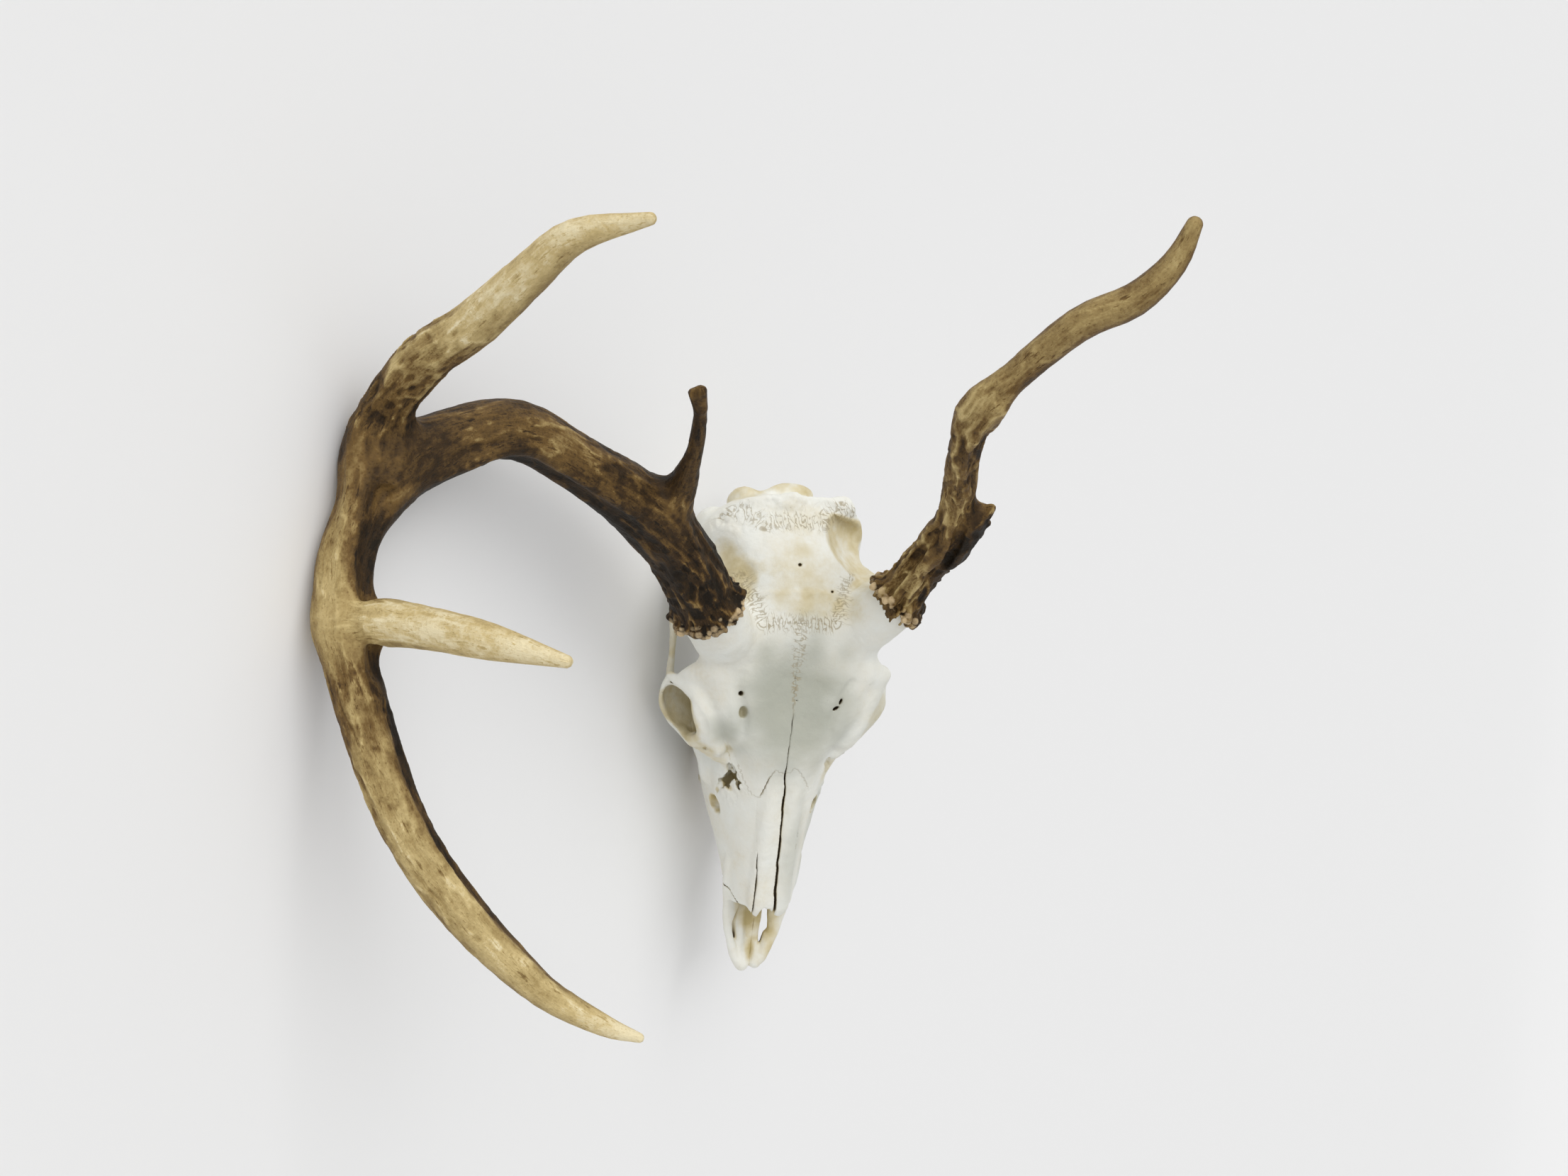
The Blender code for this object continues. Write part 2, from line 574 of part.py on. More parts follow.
def antler_piece(name, branch, start=0.0, end=1.0, cutters=()):
    """One length of an antler with what it meets cut away."""
    piece = branch.stretch(name, start, end)
    piece.hide_render = False
    piece.display_type = "TEXTURED"
    for cutter in cutters:
        combine(piece, cutter, "DIFFERENCE")
    return keep_main_body(piece)


def make_right_antler():
    """Burr and base, brow tine, beam, rear tine, outer beam, front tine and beam tip."""
    beam = Branch(BEAM_RIGHT, has_burr=True)
    outer = Branch(BEAM_RIGHT_OUTER)
    rear = Branch(TINE_REAR)
    front = Branch(TINE_FRONT)
    brow = Branch(TINE_BROW)
    beam_margin = beam.stretch("beam_margin", grow=GAP)
    rear_margin = rear.stretch("rear_margin", grow=GAP)
    outer_margin = outer.stretch("outer_margin", grow=GAP)
    nodes = [
        antler_piece("antler_right_base", beam, 0.0, RIGHT_PARTING),
        antler_piece("antler_right_brow_tine", brow, cutters=(beam_margin,)),
        antler_piece("antler_right_beam", beam, RIGHT_PARTING, 1.0, (outer_margin, rear_margin)),
        antler_piece("antler_right_rear_tine", rear, cutters=(outer_margin,)),
        antler_piece("antler_right_outer_beam", outer, 0.0, OUTER_PARTING),
        antler_piece("antler_right_front_tine", front, cutters=(outer_margin,)),
        antler_piece("antler_right_beam_tip", outer, OUTER_PARTING, 1.0),
    ]
    remove((beam_margin, rear_margin, outer_margin))
    return nodes


def make_left_antler():
    """Burr and base, broken brow stub, beam and tip."""
    beam = Branch(BEAM_LEFT, has_burr=True)
    stub = Branch(BROW_STUB)
    first, second = LEFT_PARTINGS
    beam_margin = beam.stretch("left_margin", grow=GAP)
    nodes = [
        antler_piece("antler_left_base", beam, 0.0, first),
        antler_piece("antler_left_brow_stub", stub, cutters=(beam_margin,)),
        antler_piece("antler_left_beam", beam, first, second),
        antler_piece("antler_left_tip", beam, second, 1.0),
    ]
    remove((beam_margin,))
    return nodes


def cut_pedicles(skull):
    """Trims each pedicle square, a gap below the burr that stands on it."""
    radius, depth = PEDICLE_CUTTER
    for stations in (BEAM_RIGHT, BEAM_LEFT):
        path = Branch(stations).path
        ahead = Vector(path[1] - path[0]).normalized()
        face = Vector(path[0]) - ahead * GAP
        turn = Vector((0.0, 0.0, 1.0)).rotation_difference(ahead)
        tool = bmesh.new()
        bmesh.ops.create_cone(tool, cap_ends=True, segments=24, radius1=radius,
                              radius2=radius, depth=depth)
        tool.transform(Matrix.Translation(face) @ turn.to_matrix().to_4x4()
                       @ Matrix.Translation((0.0, 0.0, 0.5 * depth)))
        carve(skull, [new_object("pedicle_cutter", tool, hidden=True)])
    return skull


# ---------------------------------------------------------------------------- finishing
def paint(obj, slot):
    """Gives a node its own material in the colour of its kind."""
    material = bpy.data.materials.new(obj.name + "_material")
    material.use_nodes = True
    shader = material.node_tree.nodes["Principled BSDF"]
    shader.inputs["Base Color"].default_value = (*COLORS[slot], 1.0)
    shader.inputs["Roughness"].default_value = 0.6
    shader.inputs["Metallic"].default_value = 0.0
    obj.data.materials.clear()
    obj.data.materials.append(material)


def lay_down(obj):
    """Turns a node from the skull frame to its resting place on the floor, in metres."""
    turn = Euler([math.radians(angle) for angle in REST_TURN]).to_matrix().to_4x4()
    place = Matrix.Scale(0.001, 4) @ Matrix.Translation(REST_SHIFT) @ turn
    obj.data.transform(place)
    obj.data.shade_smooth()
    obj.data.set_sharp_from_angle(angle=math.radians(40.0))


def main():
    for obj in list(bpy.data.objects):
        bpy.data.objects.remove(obj)
    skull = cut_pedicles(make_skull())
    groups = (
        ("bone", part_skull(skull)),
        ("antler_right", make_right_antler()),
        ("antler_left", make_left_antler()),
    )
    for slot, nodes in groups:
        for node in nodes:
            paint(node, slot)
            lay_down(node)


main()
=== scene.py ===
"""Bleached skull of a white-tailed buck with two unlike antlers, resting on a pale floor.

Everything is worked out in the skull's own frame, in millimetres: X to the animal's left,
Y to the back of the head, Z up from the plane the cheek teeth bite on.  REST_TURN and
REST_SHIFT lay it on the floor in metres.  Bone and antler are skins drawn where a field of
distances is zero; each shape's field is given in words beside it.
"""
import itertools
import math

import bpy
import numpy
from bpy.props import FloatProperty, FloatVectorProperty, PointerProperty
from mathutils import Euler, Matrix


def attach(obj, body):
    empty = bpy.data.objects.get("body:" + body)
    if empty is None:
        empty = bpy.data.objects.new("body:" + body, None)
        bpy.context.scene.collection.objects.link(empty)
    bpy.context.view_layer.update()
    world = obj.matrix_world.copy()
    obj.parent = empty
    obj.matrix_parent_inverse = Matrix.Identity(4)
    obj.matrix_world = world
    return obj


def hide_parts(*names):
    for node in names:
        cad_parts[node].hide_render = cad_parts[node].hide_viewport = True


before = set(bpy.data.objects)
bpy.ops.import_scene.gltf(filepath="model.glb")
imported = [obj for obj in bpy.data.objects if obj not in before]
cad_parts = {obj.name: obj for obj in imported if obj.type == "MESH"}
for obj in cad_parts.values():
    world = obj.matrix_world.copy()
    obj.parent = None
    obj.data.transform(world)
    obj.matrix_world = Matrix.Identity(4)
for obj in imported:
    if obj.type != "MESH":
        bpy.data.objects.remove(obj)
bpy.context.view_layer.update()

bl_info = {
    "name": "Deer Skull With Antlers",
    "version": (1, 0, 0),
    "blender": (4, 5, 0),
    "location": "View3D > Sidebar > Skull",
    "description": "Builds a bleached buck's skull with two unlike antlers",
    "category": "Add Mesh",
}

COARSER = 1.0
FAR = 60.0                      # a distance that counts as far from every surface, in mm
MARGIN = 9.0                    # how far round a path its field is worked out, in mm
METRE = 1000.0                  # in mm
MM = 0.001                      # in metres

# the resting place: turn from the skull frame to the floor, in degrees, and shift in mm
REST_TURN = (-4.81, -48.18, 97.59)
REST_SHIFT = (31.59, 183.24, 21.24)
TURN = numpy.array(Euler([math.radians(a) for a in REST_TURN]).to_matrix())

# the camera in the skull frame: its turn in degrees, the skull's place before it in mm
CAMERA_TURN = (2.26, 15.43, -0.92)
CAMERA_PLACE = (-21.2, -55.9, -998.7)
CAMERA_FOCUS = 2400.0           # focal length in pixels of a frame as wide as FRAME_WIDTH
FRAME_WIDTH = 2212.0
SENSOR_WIDTH = 36.0             # of the camera, in mm
VIEW = numpy.array(Euler([math.radians(a) for a in CAMERA_TURN]).to_matrix())

# ------------------------------------------------------------------ the skull's shape, mm
HEAD_BOX = ((-72.0, -168.0, -4.0), (71.0, 119.0, 140.0))       # holds all of it but the antlers
# Sections across the head: (y, half width, bottom, top, squareness, narrowing upward)
CRANIUM = (
    (34, 29, 46, 104, 2.4, 0),
    (50, 36, 41, 108.5, 2.3, 0),
    (66, 42, 38, 107.5, 2.3, 0),
    (80, 44, 37, 103, 2.2, 0),
    (92, 42.5, 38, 96, 2.3, 0),
    (100, 36.5, 41, 91.5, 2.3, 0),
    (106, 27, 44, 85.5, 2.2, 0),
    (110, 14.5, 48, 69.5, 2, 0),
)
FOREHEAD = (
    (-46, 14.5, 60, 83, 2.6, 0),
    (-34, 22.5, 58, 91.5, 2.8, 0),
    (-22, 32.5, 58, 95.5, 3, 0),
    (-10, 42.5, 60, 99, 3.2, 0),
    (2, 47, 62, 102, 3.2, 0),
    (14, 49.5, 64, 104.5, 3.2, 0),
    (28, 46.5, 66, 107, 3, 0),
    (42, 43.5, 62, 109, 2.6, 0),
    (56, 37.5, 58, 106.5, 2.4, 0),
)
FACE = (
    (-119, 19.5, 24, 61, 3.2, 0.42),
    (-105, 22, 22, 66, 3.2, 0.42),
    (-90, 25, 19, 71, 3.2, 0.45),
    (-72, 30.5, 12, 77, 3, 0.45),
    (-55, 35.5, 10, 82.5, 3, 0.44),
    (-38, 38, 10, 89.5, 3, 0.37),
    (-20, 36, 11, 94.5, 3, 0.28),
    (-5, 34.5, 14, 97.5, 2.8, 0.18),
    (8, 28.5, 22, 98.5, 2.6, 0.08),
    (20, 20.5, 32, 97.5, 2.4, 0),
)
SKULL_FLOOR = (
    (2, 12, 27, 60, 2.2, 0),
    (30, 10, 34, 60, 2.2, 0),
    (62, 12, 34, 56, 2.2, 0),
    (90, 14, 33, 56, 2.2, 0),
    (112, 12, 36, 56, 2.2, 0),
)

# Bars and ridges, each a path of (x, y, z, radius): the left ones, then the right ones
ORBIT_RIMS = (
    ((57, 13.5, 80, 2.8), (54.5, 9, 83.5, 2.2), (54.5, 2, 84, 2), (54.5, -5, 82.5, 2),
     (49.5, -13.5, 80, 2), (44.5, -19.5, 75, 2.2), (43, -21.5, 66, 2.6), (46, -17.5, 59, 2.4),
     (50.5, -10, 60, 2), (52.8, -3.5, 65.5, 2), (54, 4.5, 72, 2.2), (57, 13.5, 80, 2.8)),
    ((-63, 12, 80, 2.4), (-59.5, 9, 84, 2), (-54.2, 7.2, 87, 1.7), (-50.8, 2.5, 88.6, 1.6),
     (-51.2, -4.5, 89.2, 1.6), (-49.6, -10, 88.2, 1.6), (-46.6, -16, 85.5, 1.8), (-46.5, -21, 79, 2.2),
     (-48.5, -23.5, 70, 2.6), (-51.5, -20.5, 60, 2.4), (-57.4, -15, 56.5, 1.6), (-62.4, -7.5, 59.5, 1.15),
     (-64.8, -1, 65.5, 1.15), (-65.4, 6, 74, 1.4), (-63, 12, 80, 2.2)),
)
CHEEK_ARCHES = (
    ((29, -46, 43, 5), (32.5, -33, 46, 5), (43, -15, 49, 4.4),
     (53, 4, 51.5, 3.4), (57, 26, 55, 2.2), (56, 47, 53, 2.8),
     (52, 60, 48, 4.5), (45, 71, 47, 5.4)),
    ((-32, -46, 43, 5.6), (-36, -33, 46, 5.2), (-46, -15, 49, 4.4),
     (-57, 4, 52.5, 2.8), (-57.2, 26, 56, 1.7), (-56, 47, 53, 2.6),
     (-52, 60, 48, 4.5), (-45, 71, 47, 5.4)),
)
BROW_SHELVES = (
    ((40, 15, 93, 8), (48.5, 14.5, 89, 5.8), (55.5, 13.5, 83, 3.4)),
    ((-40, 15, 93, 8), (-51, 15.5, 88.5, 5.6), (-60.5, 14, 82, 3)),
)
BROW_EDGES = (
    ((52.5, 13, 84.5, 4.4), (51.4, 7, 84.5, 3.6), (51.2, 0, 84, 3.4), (50.4, -6, 83, 3.4),
     (46.8, -12.5, 82, 3.4), (42.2, -18.5, 80, 3.6), (37, -24.5, 77.5, 3.8), (31.5, -30, 75, 4)),
    ((46, 10, 89, 4.6), (46, 1, 88.5, 4.2), (44, -8, 87, 4.2), (38.5, -16, 85, 4.2),
     (33, -23, 82, 4)),
    ((-53, 9, 86.5, 3), (-48.6, 1, 88, 3.4), (-48.4, -6, 87.8, 3.4), (-46.2, -13, 85.8, 3.4),
     (-42, -20, 82, 3.8), (-36, -27, 79, 4)),
)
NECK_CRESTS = (
    ((42.5, 70, 54, 3.8), (44, 84, 62, 2.6), (41, 94, 70, 2.6),
     (31, 103.5, 80.5, 3.2), (17, 106.5, 84.6, 2.4), (0, 107, 86, 2.4)),
    ((-42.5, 72, 54, 3.8), (-43.5, 86, 62, 2.6), (-39, 94, 71, 2.6),
     (-27, 103, 80.5, 2.4), (-14, 106.5, 85, 2.4), (0, 107, 86, 2.4)),
)
TEMPLE_WALLS = (
    ((40, 54, 100, 8), (45, 62, 88, 5), (46, 67, 76, 3.4), (44, 68, 62, 3)),
    ((-40, 50, 100, 8), (-44, 60, 88, 5), (-45, 66, 76, 3.4), (-44, 68, 62, 3)),
)
JAW_EDGES = (
    ((19, -94, 46, 3), (18.4, -108, 40, 3.2), (16.2, -118, 35, 3.2),
     (14.8, -128, 31.5, 2.8), (13.2, -137, 29.5, 2.4), (10.2, -146, 28, 2.2),
     (6.6, -152.5, 27, 2.4), (1.8, -158.5, 25.5, 3.2)),
    ((-19, -94, 46, 3), (-18.8, -108, 40, 3.2), (-17, -118, 35, 3.2),
     (-16.4, -128, 31.5, 3), (-15.4, -138, 29, 2.6), (-13, -147, 27.5, 2.4),
     (-10.4, -155, 26.5, 2.7), (-6.5, -160, 25.5, 3.4)),
)
JAW_MIDDLES = (
    ((3.4, -112, 28, 2.6), (2.2, -125, 27, 2.2), (0.9, -140, 27, 1.9),
     (1.2, -150, 26.5, 2.1), (1.6, -158, 25.2, 3)),
    ((-4, -112, 28, 2.6), (-3.6, -125, 27, 2.4), (-3.5, -140, 27, 2.1),
     (-4.2, -150, 26.5, 2.4), (-6, -158.5, 25.2, 3.2)),
)
LACRIMALS = (
    ((43, -23, 70, 3), (37, -27, 68, 4), (31, -33, 66, 4), (26, -38, 64, 3.6)),
    ((-46, -23.5, 70.5, 4), (-40, -27, 70.5, 5), (-33.5, -30, 70.5, 5.6), (-27.5, -31.5, 70, 5)),
)
PEDICLES = (
    ((30, 30, 82, 16), (39, 42, 101, 15), (49, 54, 118, 13.8)),
    ((-30, 28, 82, 17), (-40, 37, 102, 17), (-52.9, 50.6, 120.4, 16.2)),
)

# Bars that the other side mirrors
SIDE_PRONG = ((33, 94, 50, 8), (32, 94, 32, 5), (28, 89, 9, 2.6))
PALATE_PLATE = ((15, -12, 24, 4), (13, 12, 28, 3), (12.5, 36, 32, 3))
PALATE_HOOK = ((13, 20, 30, 3.2), (13, 36, 24, 2.6), (13.5, 43, 16, 1.9))
NASAL_RIDGE = ((6.2, -117, 57.4, 5.5), (6.4, -105, 61.9, 5.6), (6.4, -90, 67, 5.6),
               (6.2, -72, 73.2, 5.6), (5.8, -55, 78.6, 5.6), (5.2, -44, 82.4, 5))

# Single bars between the jaws and above the palate
VOMER = ((0, -60, 33, 5), (0.4, -110, 31, 4.6), (0.2, -130, 29, 3.6), (-0.8, -141, 27, 2.4))
JAW_SHELF = ((9.5, -116, 32, 4), (10.8, -128, 30, 3.6), (10.5, -138, 28.5, 2.6),
             (7.5, -146.5, 27.5, 2))
JAW_WEBS = (
    ((8, -142.5, 27, 2.4), (6.8, -149, 26.5, 3), (4.8, -155.5, 26, 3)),
    ((-8, -116, 26, 5.2), (-8.6, -130, 22.6, 5), (-8, -143, 22.2, 4.4), (-7.6, -152, 23, 3.8)),
    ((-12, -115, 35, 4), (-12.8, -122.5, 32, 3.2), (-14.4, -130, 30, 2)),
)

# Bars taken out: gutters beside the brow holes, and the broken tear bones
BROW_GUTTERS = (
    ((31.5, 10, 103, 2.2), (28, 4, 103, 3.2), (25.5, -3, 101.6, 3.4), (22.5, -9, 100.3, 3.2),
     (21.8, -15, 98.6, 2.8), (24, -23, 94.5, 2.2)),
    ((-30, 14, 105.6, 2.6), (-32, 8, 104.2, 3.4), (-29.2, -2, 101.6, 4.2),
     (-27.2, -12, 99.2, 4.2), (-28, -21, 95.2, 3.2)),
)
TEAR_GAPS = (
    ((26, -35, 76, 1.8), (28.6, -40.5, 70, 3), (27.2, -46, 66, 1.8)),
    ((-27.2, -35.5, 72, 2), (-25, -38.5, 73, 3.3), (-25.6, -43.5, 69, 3.2),
     (-28, -48, 62, 2.5), (-30.2, -53.5, 54, 1.8)),
    ((-24.5, -40, 72, 2.4), (-22.6, -45, 72.5, 2), (-21, -50.5, 72, 1.4)),
)

# Rounded lumps: (centre, radii) and, where it is turned, its turn in degrees
CONDYLES = (
    ((2.5, 107.5, 51.5), (19, 8, 13), (-20, 0, 8)),
    ((-18.5, 105.5, 50.5), (8.5, 8, 12.5), (-20, 0, -20)),
)
EAR_BULLA = ((23, 74, 33), (8, 12, 9), (0, 0, 15))        # this and the next two are mirrored
JAW_SOCKET = ((43, 61, 46), (13, 9, 6))
EAR_BACK = ((36, 92, 52), (9, 10, 15))
ORBIT_FLOORS = (
    ((36, -15, 50), (12.5, 17, 9), (0, 0, -28)),
    ((-38.5, -15, 50), (13, 17, 9), (0, 0, 28)),
)
NASAL_TIP = ((5.8, -112, 61), (5.4, 13, 3), (13, 0, 0))
NECK_KNOBS = (
    ((0, 103.5, 83), (11, 6, 7)),
    ((29, 103.5, 79), (8, 6.5, 7.5)),
)

# Hollows, in the same form; the left one where the other side mirrors it
ORBIT = ((43.5, -5.5, 72.5), (26.5, 18.8, 17.8), (0, -4, -8))
TEMPLE_HOLLOW = ((57, 34, 73), (20, 24, 20), (0, 0, 12))
NOSE_HOLLOW = ((0, -120, 43), (14.5, 32, 15.5), (14, 0, 0))
PALATE_VAULT = ((0, -50, 4), (15.5, 100, 14))
THROAT_HOLLOW = ((0, 14, 24), (9, 30, 12))
NECK_OPENING = ((-5, 112, 50), (8, 20, 8.5), (-12, 0, 0))
# and round the temples: a lump, the plane (x, y, distance) it stays before, how soft its edge is
TEMPLE_FOSSAE = (
    (((90.6, 92, 104), (75, 40, 46)), (0.2, 0.98, 102.5), 2.5),
    (((-97, 80, 106), (68, 30, 44)), (-0.447, 0.894, 96.6), 5),
    (((-33, 69, 105.5), (9, 9, 8)), (0, 1, 96), 3),
)
ORBIT_CUP = ((42, -5, 72.5), (28, 20, 20))
ORBIT_PLANE = (0.781, -0.469, 0.414)            # which way the left orbit's rim faces
ORBIT_REACHES = (72.5, 77.5)                    # how far out the left and right rims lie that way
FOREHEAD_DIP = ((2, -6, 111.5), (24, 36, 14), (4, 0, 0))
TEAR_HOLES = (
    ((22.6, -60.5, 65.5), (3.8, 5, 5.6)),
    ((-29.6, -62.5, 46.5), (6.5, 5, 5.6), (0, 0, 10)),
    ((-17.8, -43, 64), (6, 9, 9)),
    ((19, -43, 60), (6, 9, 9)),
    ((-22, -47.5, 60.5), (5.6, 7, 8)),
)
NASAL_NOTCH = ((-3.2, -126, 60), (3.2, 7, 9))
NERVE_HOLE = ((31, -64, 48), (6, 5, 3.4), (0, 0, 20))
BROW_HOLES = (
    ((-28.8, 4.4, 99), (1.2, 1.4, 5)), ((-26.7, -6, 97), (2.1, 3.2, 5)),
    ((26.3, -0.1, 97.5), (1, 2, 5), (0, 0, -20)), ((24, -3.8, 97), (2.3, 1, 5), (0, 0, 25)),
    ((2.2, 0.2, 98.5), (0.6, 0.5, 3)),
)
VESSEL_HOLES = (
    ((-0.1, 72.7, 106.5), (0.9, 0.9, 4)),
    ((17.8, 58.8, 106.5), (0.8, 0.7, 4)),
)

# Cheek teeth from the back: length, width and x of each, and where the row ends behind
TOOTH_LENGTHS = (17, 16.5, 14, 10.5, 9.5, 8.5)
TOOTH_WIDTHS = (14, 15, 14, 12, 10, 8)
TOOTH_CENTRES_X = (25.5, 25, 23, 20, 17.5, 15.5)
TOOTH_ROW_BACK = -11.0
TOOTH_HEIGHT = 16.0
TOOTH_ROW_FRONT = -92.0
TWO_LOBED_TEETH = 3
TOOTH_GAP = 0.7                 # between neighbours
CRESCENT_RADIUS = 1.35          # of the ridges on a grinding face, in half widths of the tooth

# ---------------------------------------------------------------- the antlers' shapes, mm
# Stations from the root outward: (x, y, z, radius)
BEAM_RIGHT = (
    (-52.9, 50.6, 120.4, 16.6), (-76, 82, 149, 15.9), (-101, 103, 171, 15.7),
    (-134, 120, 197, 12.8), (-162, 132, 215, 13.2), (-188, 127, 229, 13.3),
    (-209, 116, 240, 14.4), (-221, 104, 247, 11.6),
)
BEAM_RIGHT_OUTER = (
    (-223, 118, 247, 10.2), (-228, 96, 251, 10.7), (-234, 75, 254, 11.5),
    (-235, 54, 258, 11.6), (-231, 30, 265, 10.8), (-216, -16, 277, 10),
    (-201, -45, 281, 9.4), (-179, -73, 283, 8.7), (-154, -98, 281, 6.6),
    (-129, -114, 278, 4.5), (-113, -121, 276, 2.1),
)
TINE_REAR = (
    (-223, 116, 247, 10.2), (-220, 135, 254, 9.9), (-206, 155, 276, 9.9),
    (-188, 168, 302, 9.2), (-171, 184, 332, 7.8), (-158, 195, 354, 6.2),
    (-135.6, 198.9, 377.4, 2.4),
)
TINE_FRONT = (
    (-233, 49, 258, 10.6), (-219, 51, 276, 9.7), (-202, 50, 296, 8.4),
    (-182, 47, 322, 7), (-157.5, 42.1, 350.4, 2.5),
)
TINE_BROW = (
    (-87, 92, 158, 10.9), (-81, 109, 179, 7.7), (-80, 124, 201, 4.2),
    (-81, 138, 218, 3.2), (-85, 151, 236, 2.9),
)
BROW_SPLIT = ((-83, 144, 228, 2.8), (-87.5, 150, 234, 2.5))
BEAM_LEFT = (
    (49, 54, 118, 13.4), (53, 72, 141, 11.5), (56, 95, 178, 10.1),
    (50, 113, 202, 7.8), (42, 133, 230, 7.5), (41, 149, 252, 8.6),
    (47, 159, 265, 6.9), (66, 182, 294, 7.4), (84, 192, 310, 7.2),
    (95, 206, 323, 5.6), (99, 221, 332, 3.5),
)
BROW_STUB = ((58, 84, 168, 9.6), (62, 95, 184, 8), (69, 104, 197, 2.1))


# --------------------------------------------------------------------------- paths, noise
def smooth_rows(rows, steps):
    """Catmull-Rom curve through rows of numbers, with that many steps in each span."""
    knots = numpy.array(rows, dtype=float)
    knots = numpy.vstack((2 * knots[0] - knots[1], knots, 2 * knots[-1] - knots[-2]))
    t = numpy.linspace(0.0, 1.0, steps, endpoint=False)[:, None]
    spans = []
    for a, b, c, d in zip(knots, knots[1:], knots[2:], knots[3:]):
        spans.append(0.5 * (2 * b + (c - a) * t + (2 * a - 5 * b + 4 * c - d) * t ** 2
                            + (3 * b - 3 * c + d - a) * t ** 3))
    return numpy.vstack(spans + [knots[-2][None, :]])


def rise(low, high, value):
    """Smooth step: 0 below low, 1 above high, and 3t^2 - 2t^3 between them."""
    t = numpy.clip((value - low) / (high - low), 0.0, 1.0)
    return t * t * (3.0 - 2.0 * t)


def lattice(cells, seed):
    """A repeatable number from -1 to 1 for each whole-number place, from mixed bits."""
    whole = cells.astype(numpy.int64).astype(numpy.uint32)
    mixed = whole[..., 0] * numpy.uint32(73856093) ^ whole[..., 1] * numpy.uint32(19349663)
    mixed ^= whole[..., 2] * numpy.uint32(83492791)
    mixed ^= numpy.uint32((seed * 2654435761) % 2 ** 32)
    mixed = (mixed ^ (mixed >> numpy.uint32(13))) * numpy.uint32(1274126177)
    mixed = (mixed ^ (mixed >> numpy.uint32(15))) * numpy.uint32(2246822519)
    return (mixed ^ (mixed >> numpy.uint32(16))) / 2.0 ** 31 - 1.0


def noise(points, seed=0):
    """Value noise: the numbers at the eight whole places round a point, smoothly mixed."""
    cells = numpy.floor(points)
    t = points - cells
    t = t * t * (3.0 - 2.0 * t)
    total = 0.0
    for corner in itertools.product((0, 1), repeat=3):
        share = numpy.prod(numpy.where(corner, t, 1.0 - t), axis=-1)
        total = total + share * lattice(cells + corner, seed)
    return total


def fractal(points, octaves=3, seed=0):
    """Noise, turned off the axes, plus finer and weaker noise: double pitch, half height."""
    points = points @ TURN
    return sum(noise(points * 2.0 ** k + 17.3 * k, seed + k) * 0.5 ** k for k in range(octaves))


# ----------------------------------------------------------------------- distance fields
def smooth_min(a, b, blend):
    """The smaller of two fields, rounded off where they differ by less than the blend."""
    near = numpy.maximum(blend - numpy.abs(a - b), 0.0) / blend
    return numpy.minimum(a, b) - near * near * blend * 0.25


class Field:
    """Distances to a surface on an even grid of places, negative inside it."""

    def __init__(self, low, high, step):
        self.low = numpy.array(low, dtype=float)
        self.step = step
        counts = [int(math.ceil((b - a) / step)) + 1 for a, b in zip(low, high)]
        self.axes = [a + step * numpy.arange(n) for a, n in zip(low, counts)]
        self.values = numpy.full(counts, FAR, dtype=numpy.float32)

    def window(self, low, high):
        """The part of the grid inside a box: its slices and its places on each axis."""
        spans = [slice(*numpy.searchsorted(axis, (a, b)))
                 for axis, a, b in zip(self.axes, low, high)]
        x, y, z = (axis[span].astype(numpy.float32) for axis, span in zip(self.axes, spans))
        return tuple(spans), x[:, None, None], y[None, :, None], z[None, None, :]

    def join(self, shape, blend=3.0):
        """Adds a shape, melted into what is there over the blend."""
        low, high, distance = shape
        spans, x, y, z = self.window(low - blend - 1.0, high + blend + 1.0)
        self.values[spans] = smooth_min(self.values[spans], distance(x, y, z), blend)

    def hollow(self, shape, blend=2.0):
        """Takes a shape out, with its edge rounded over the blend."""
        low, high, distance = shape
        spans, x, y, z = self.window(low - blend - 1.0, high + blend + 1.0)
        self.values[spans] = -smooth_min(-self.values[spans], distance(x, y, z), blend)

    def read(self, points):
        """The field at any places, mixed evenly from the eight grid places round each."""
        place = (points - self.low) / self.step
        top = numpy.array(self.values.shape) - 2
        cell = numpy.clip(numpy.floor(place), 0, top).astype(int)
        t = numpy.clip(place - cell, 0.0, 1.0)
        total = 0.0
        for corner in itertools.product((0, 1), repeat=3):
            share = numpy.prod(numpy.where(corner, t, 1.0 - t), axis=-1)
            index = cell + corner
            total = total + share * self.values[index[:, 0], index[:, 1], index[:, 2]]
        return total


def lump(centre, radii, turn=(0.0, 0.0, 0.0)):
    """Ellipsoid: with k the point over the radii and g over their squares, k (k - 1) / g."""
    centre = numpy.array(centre, dtype=float)
    spin = numpy.array(Euler([math.radians(a) for a in turn]).to_matrix())
    reach = numpy.sqrt(spin ** 2 @ numpy.array(radii) ** 2)

    def distance(x, y, z):
        offset = (x - centre[0], y - centre[1], z - centre[2])
        near = 0.0
        steep = 0.0
        for axis, radius in enumerate(radii):
            share = sum(spin[i, axis] * offset[i] for i in range(3)) / radius
            near = near + share ** 2
            steep = steep + (share / radius) ** 2
        near = numpy.sqrt(near)
        return near * (near - 1.0) / numpy.sqrt(steep + 1e-9)

    return centre - reach, centre + reach, distance


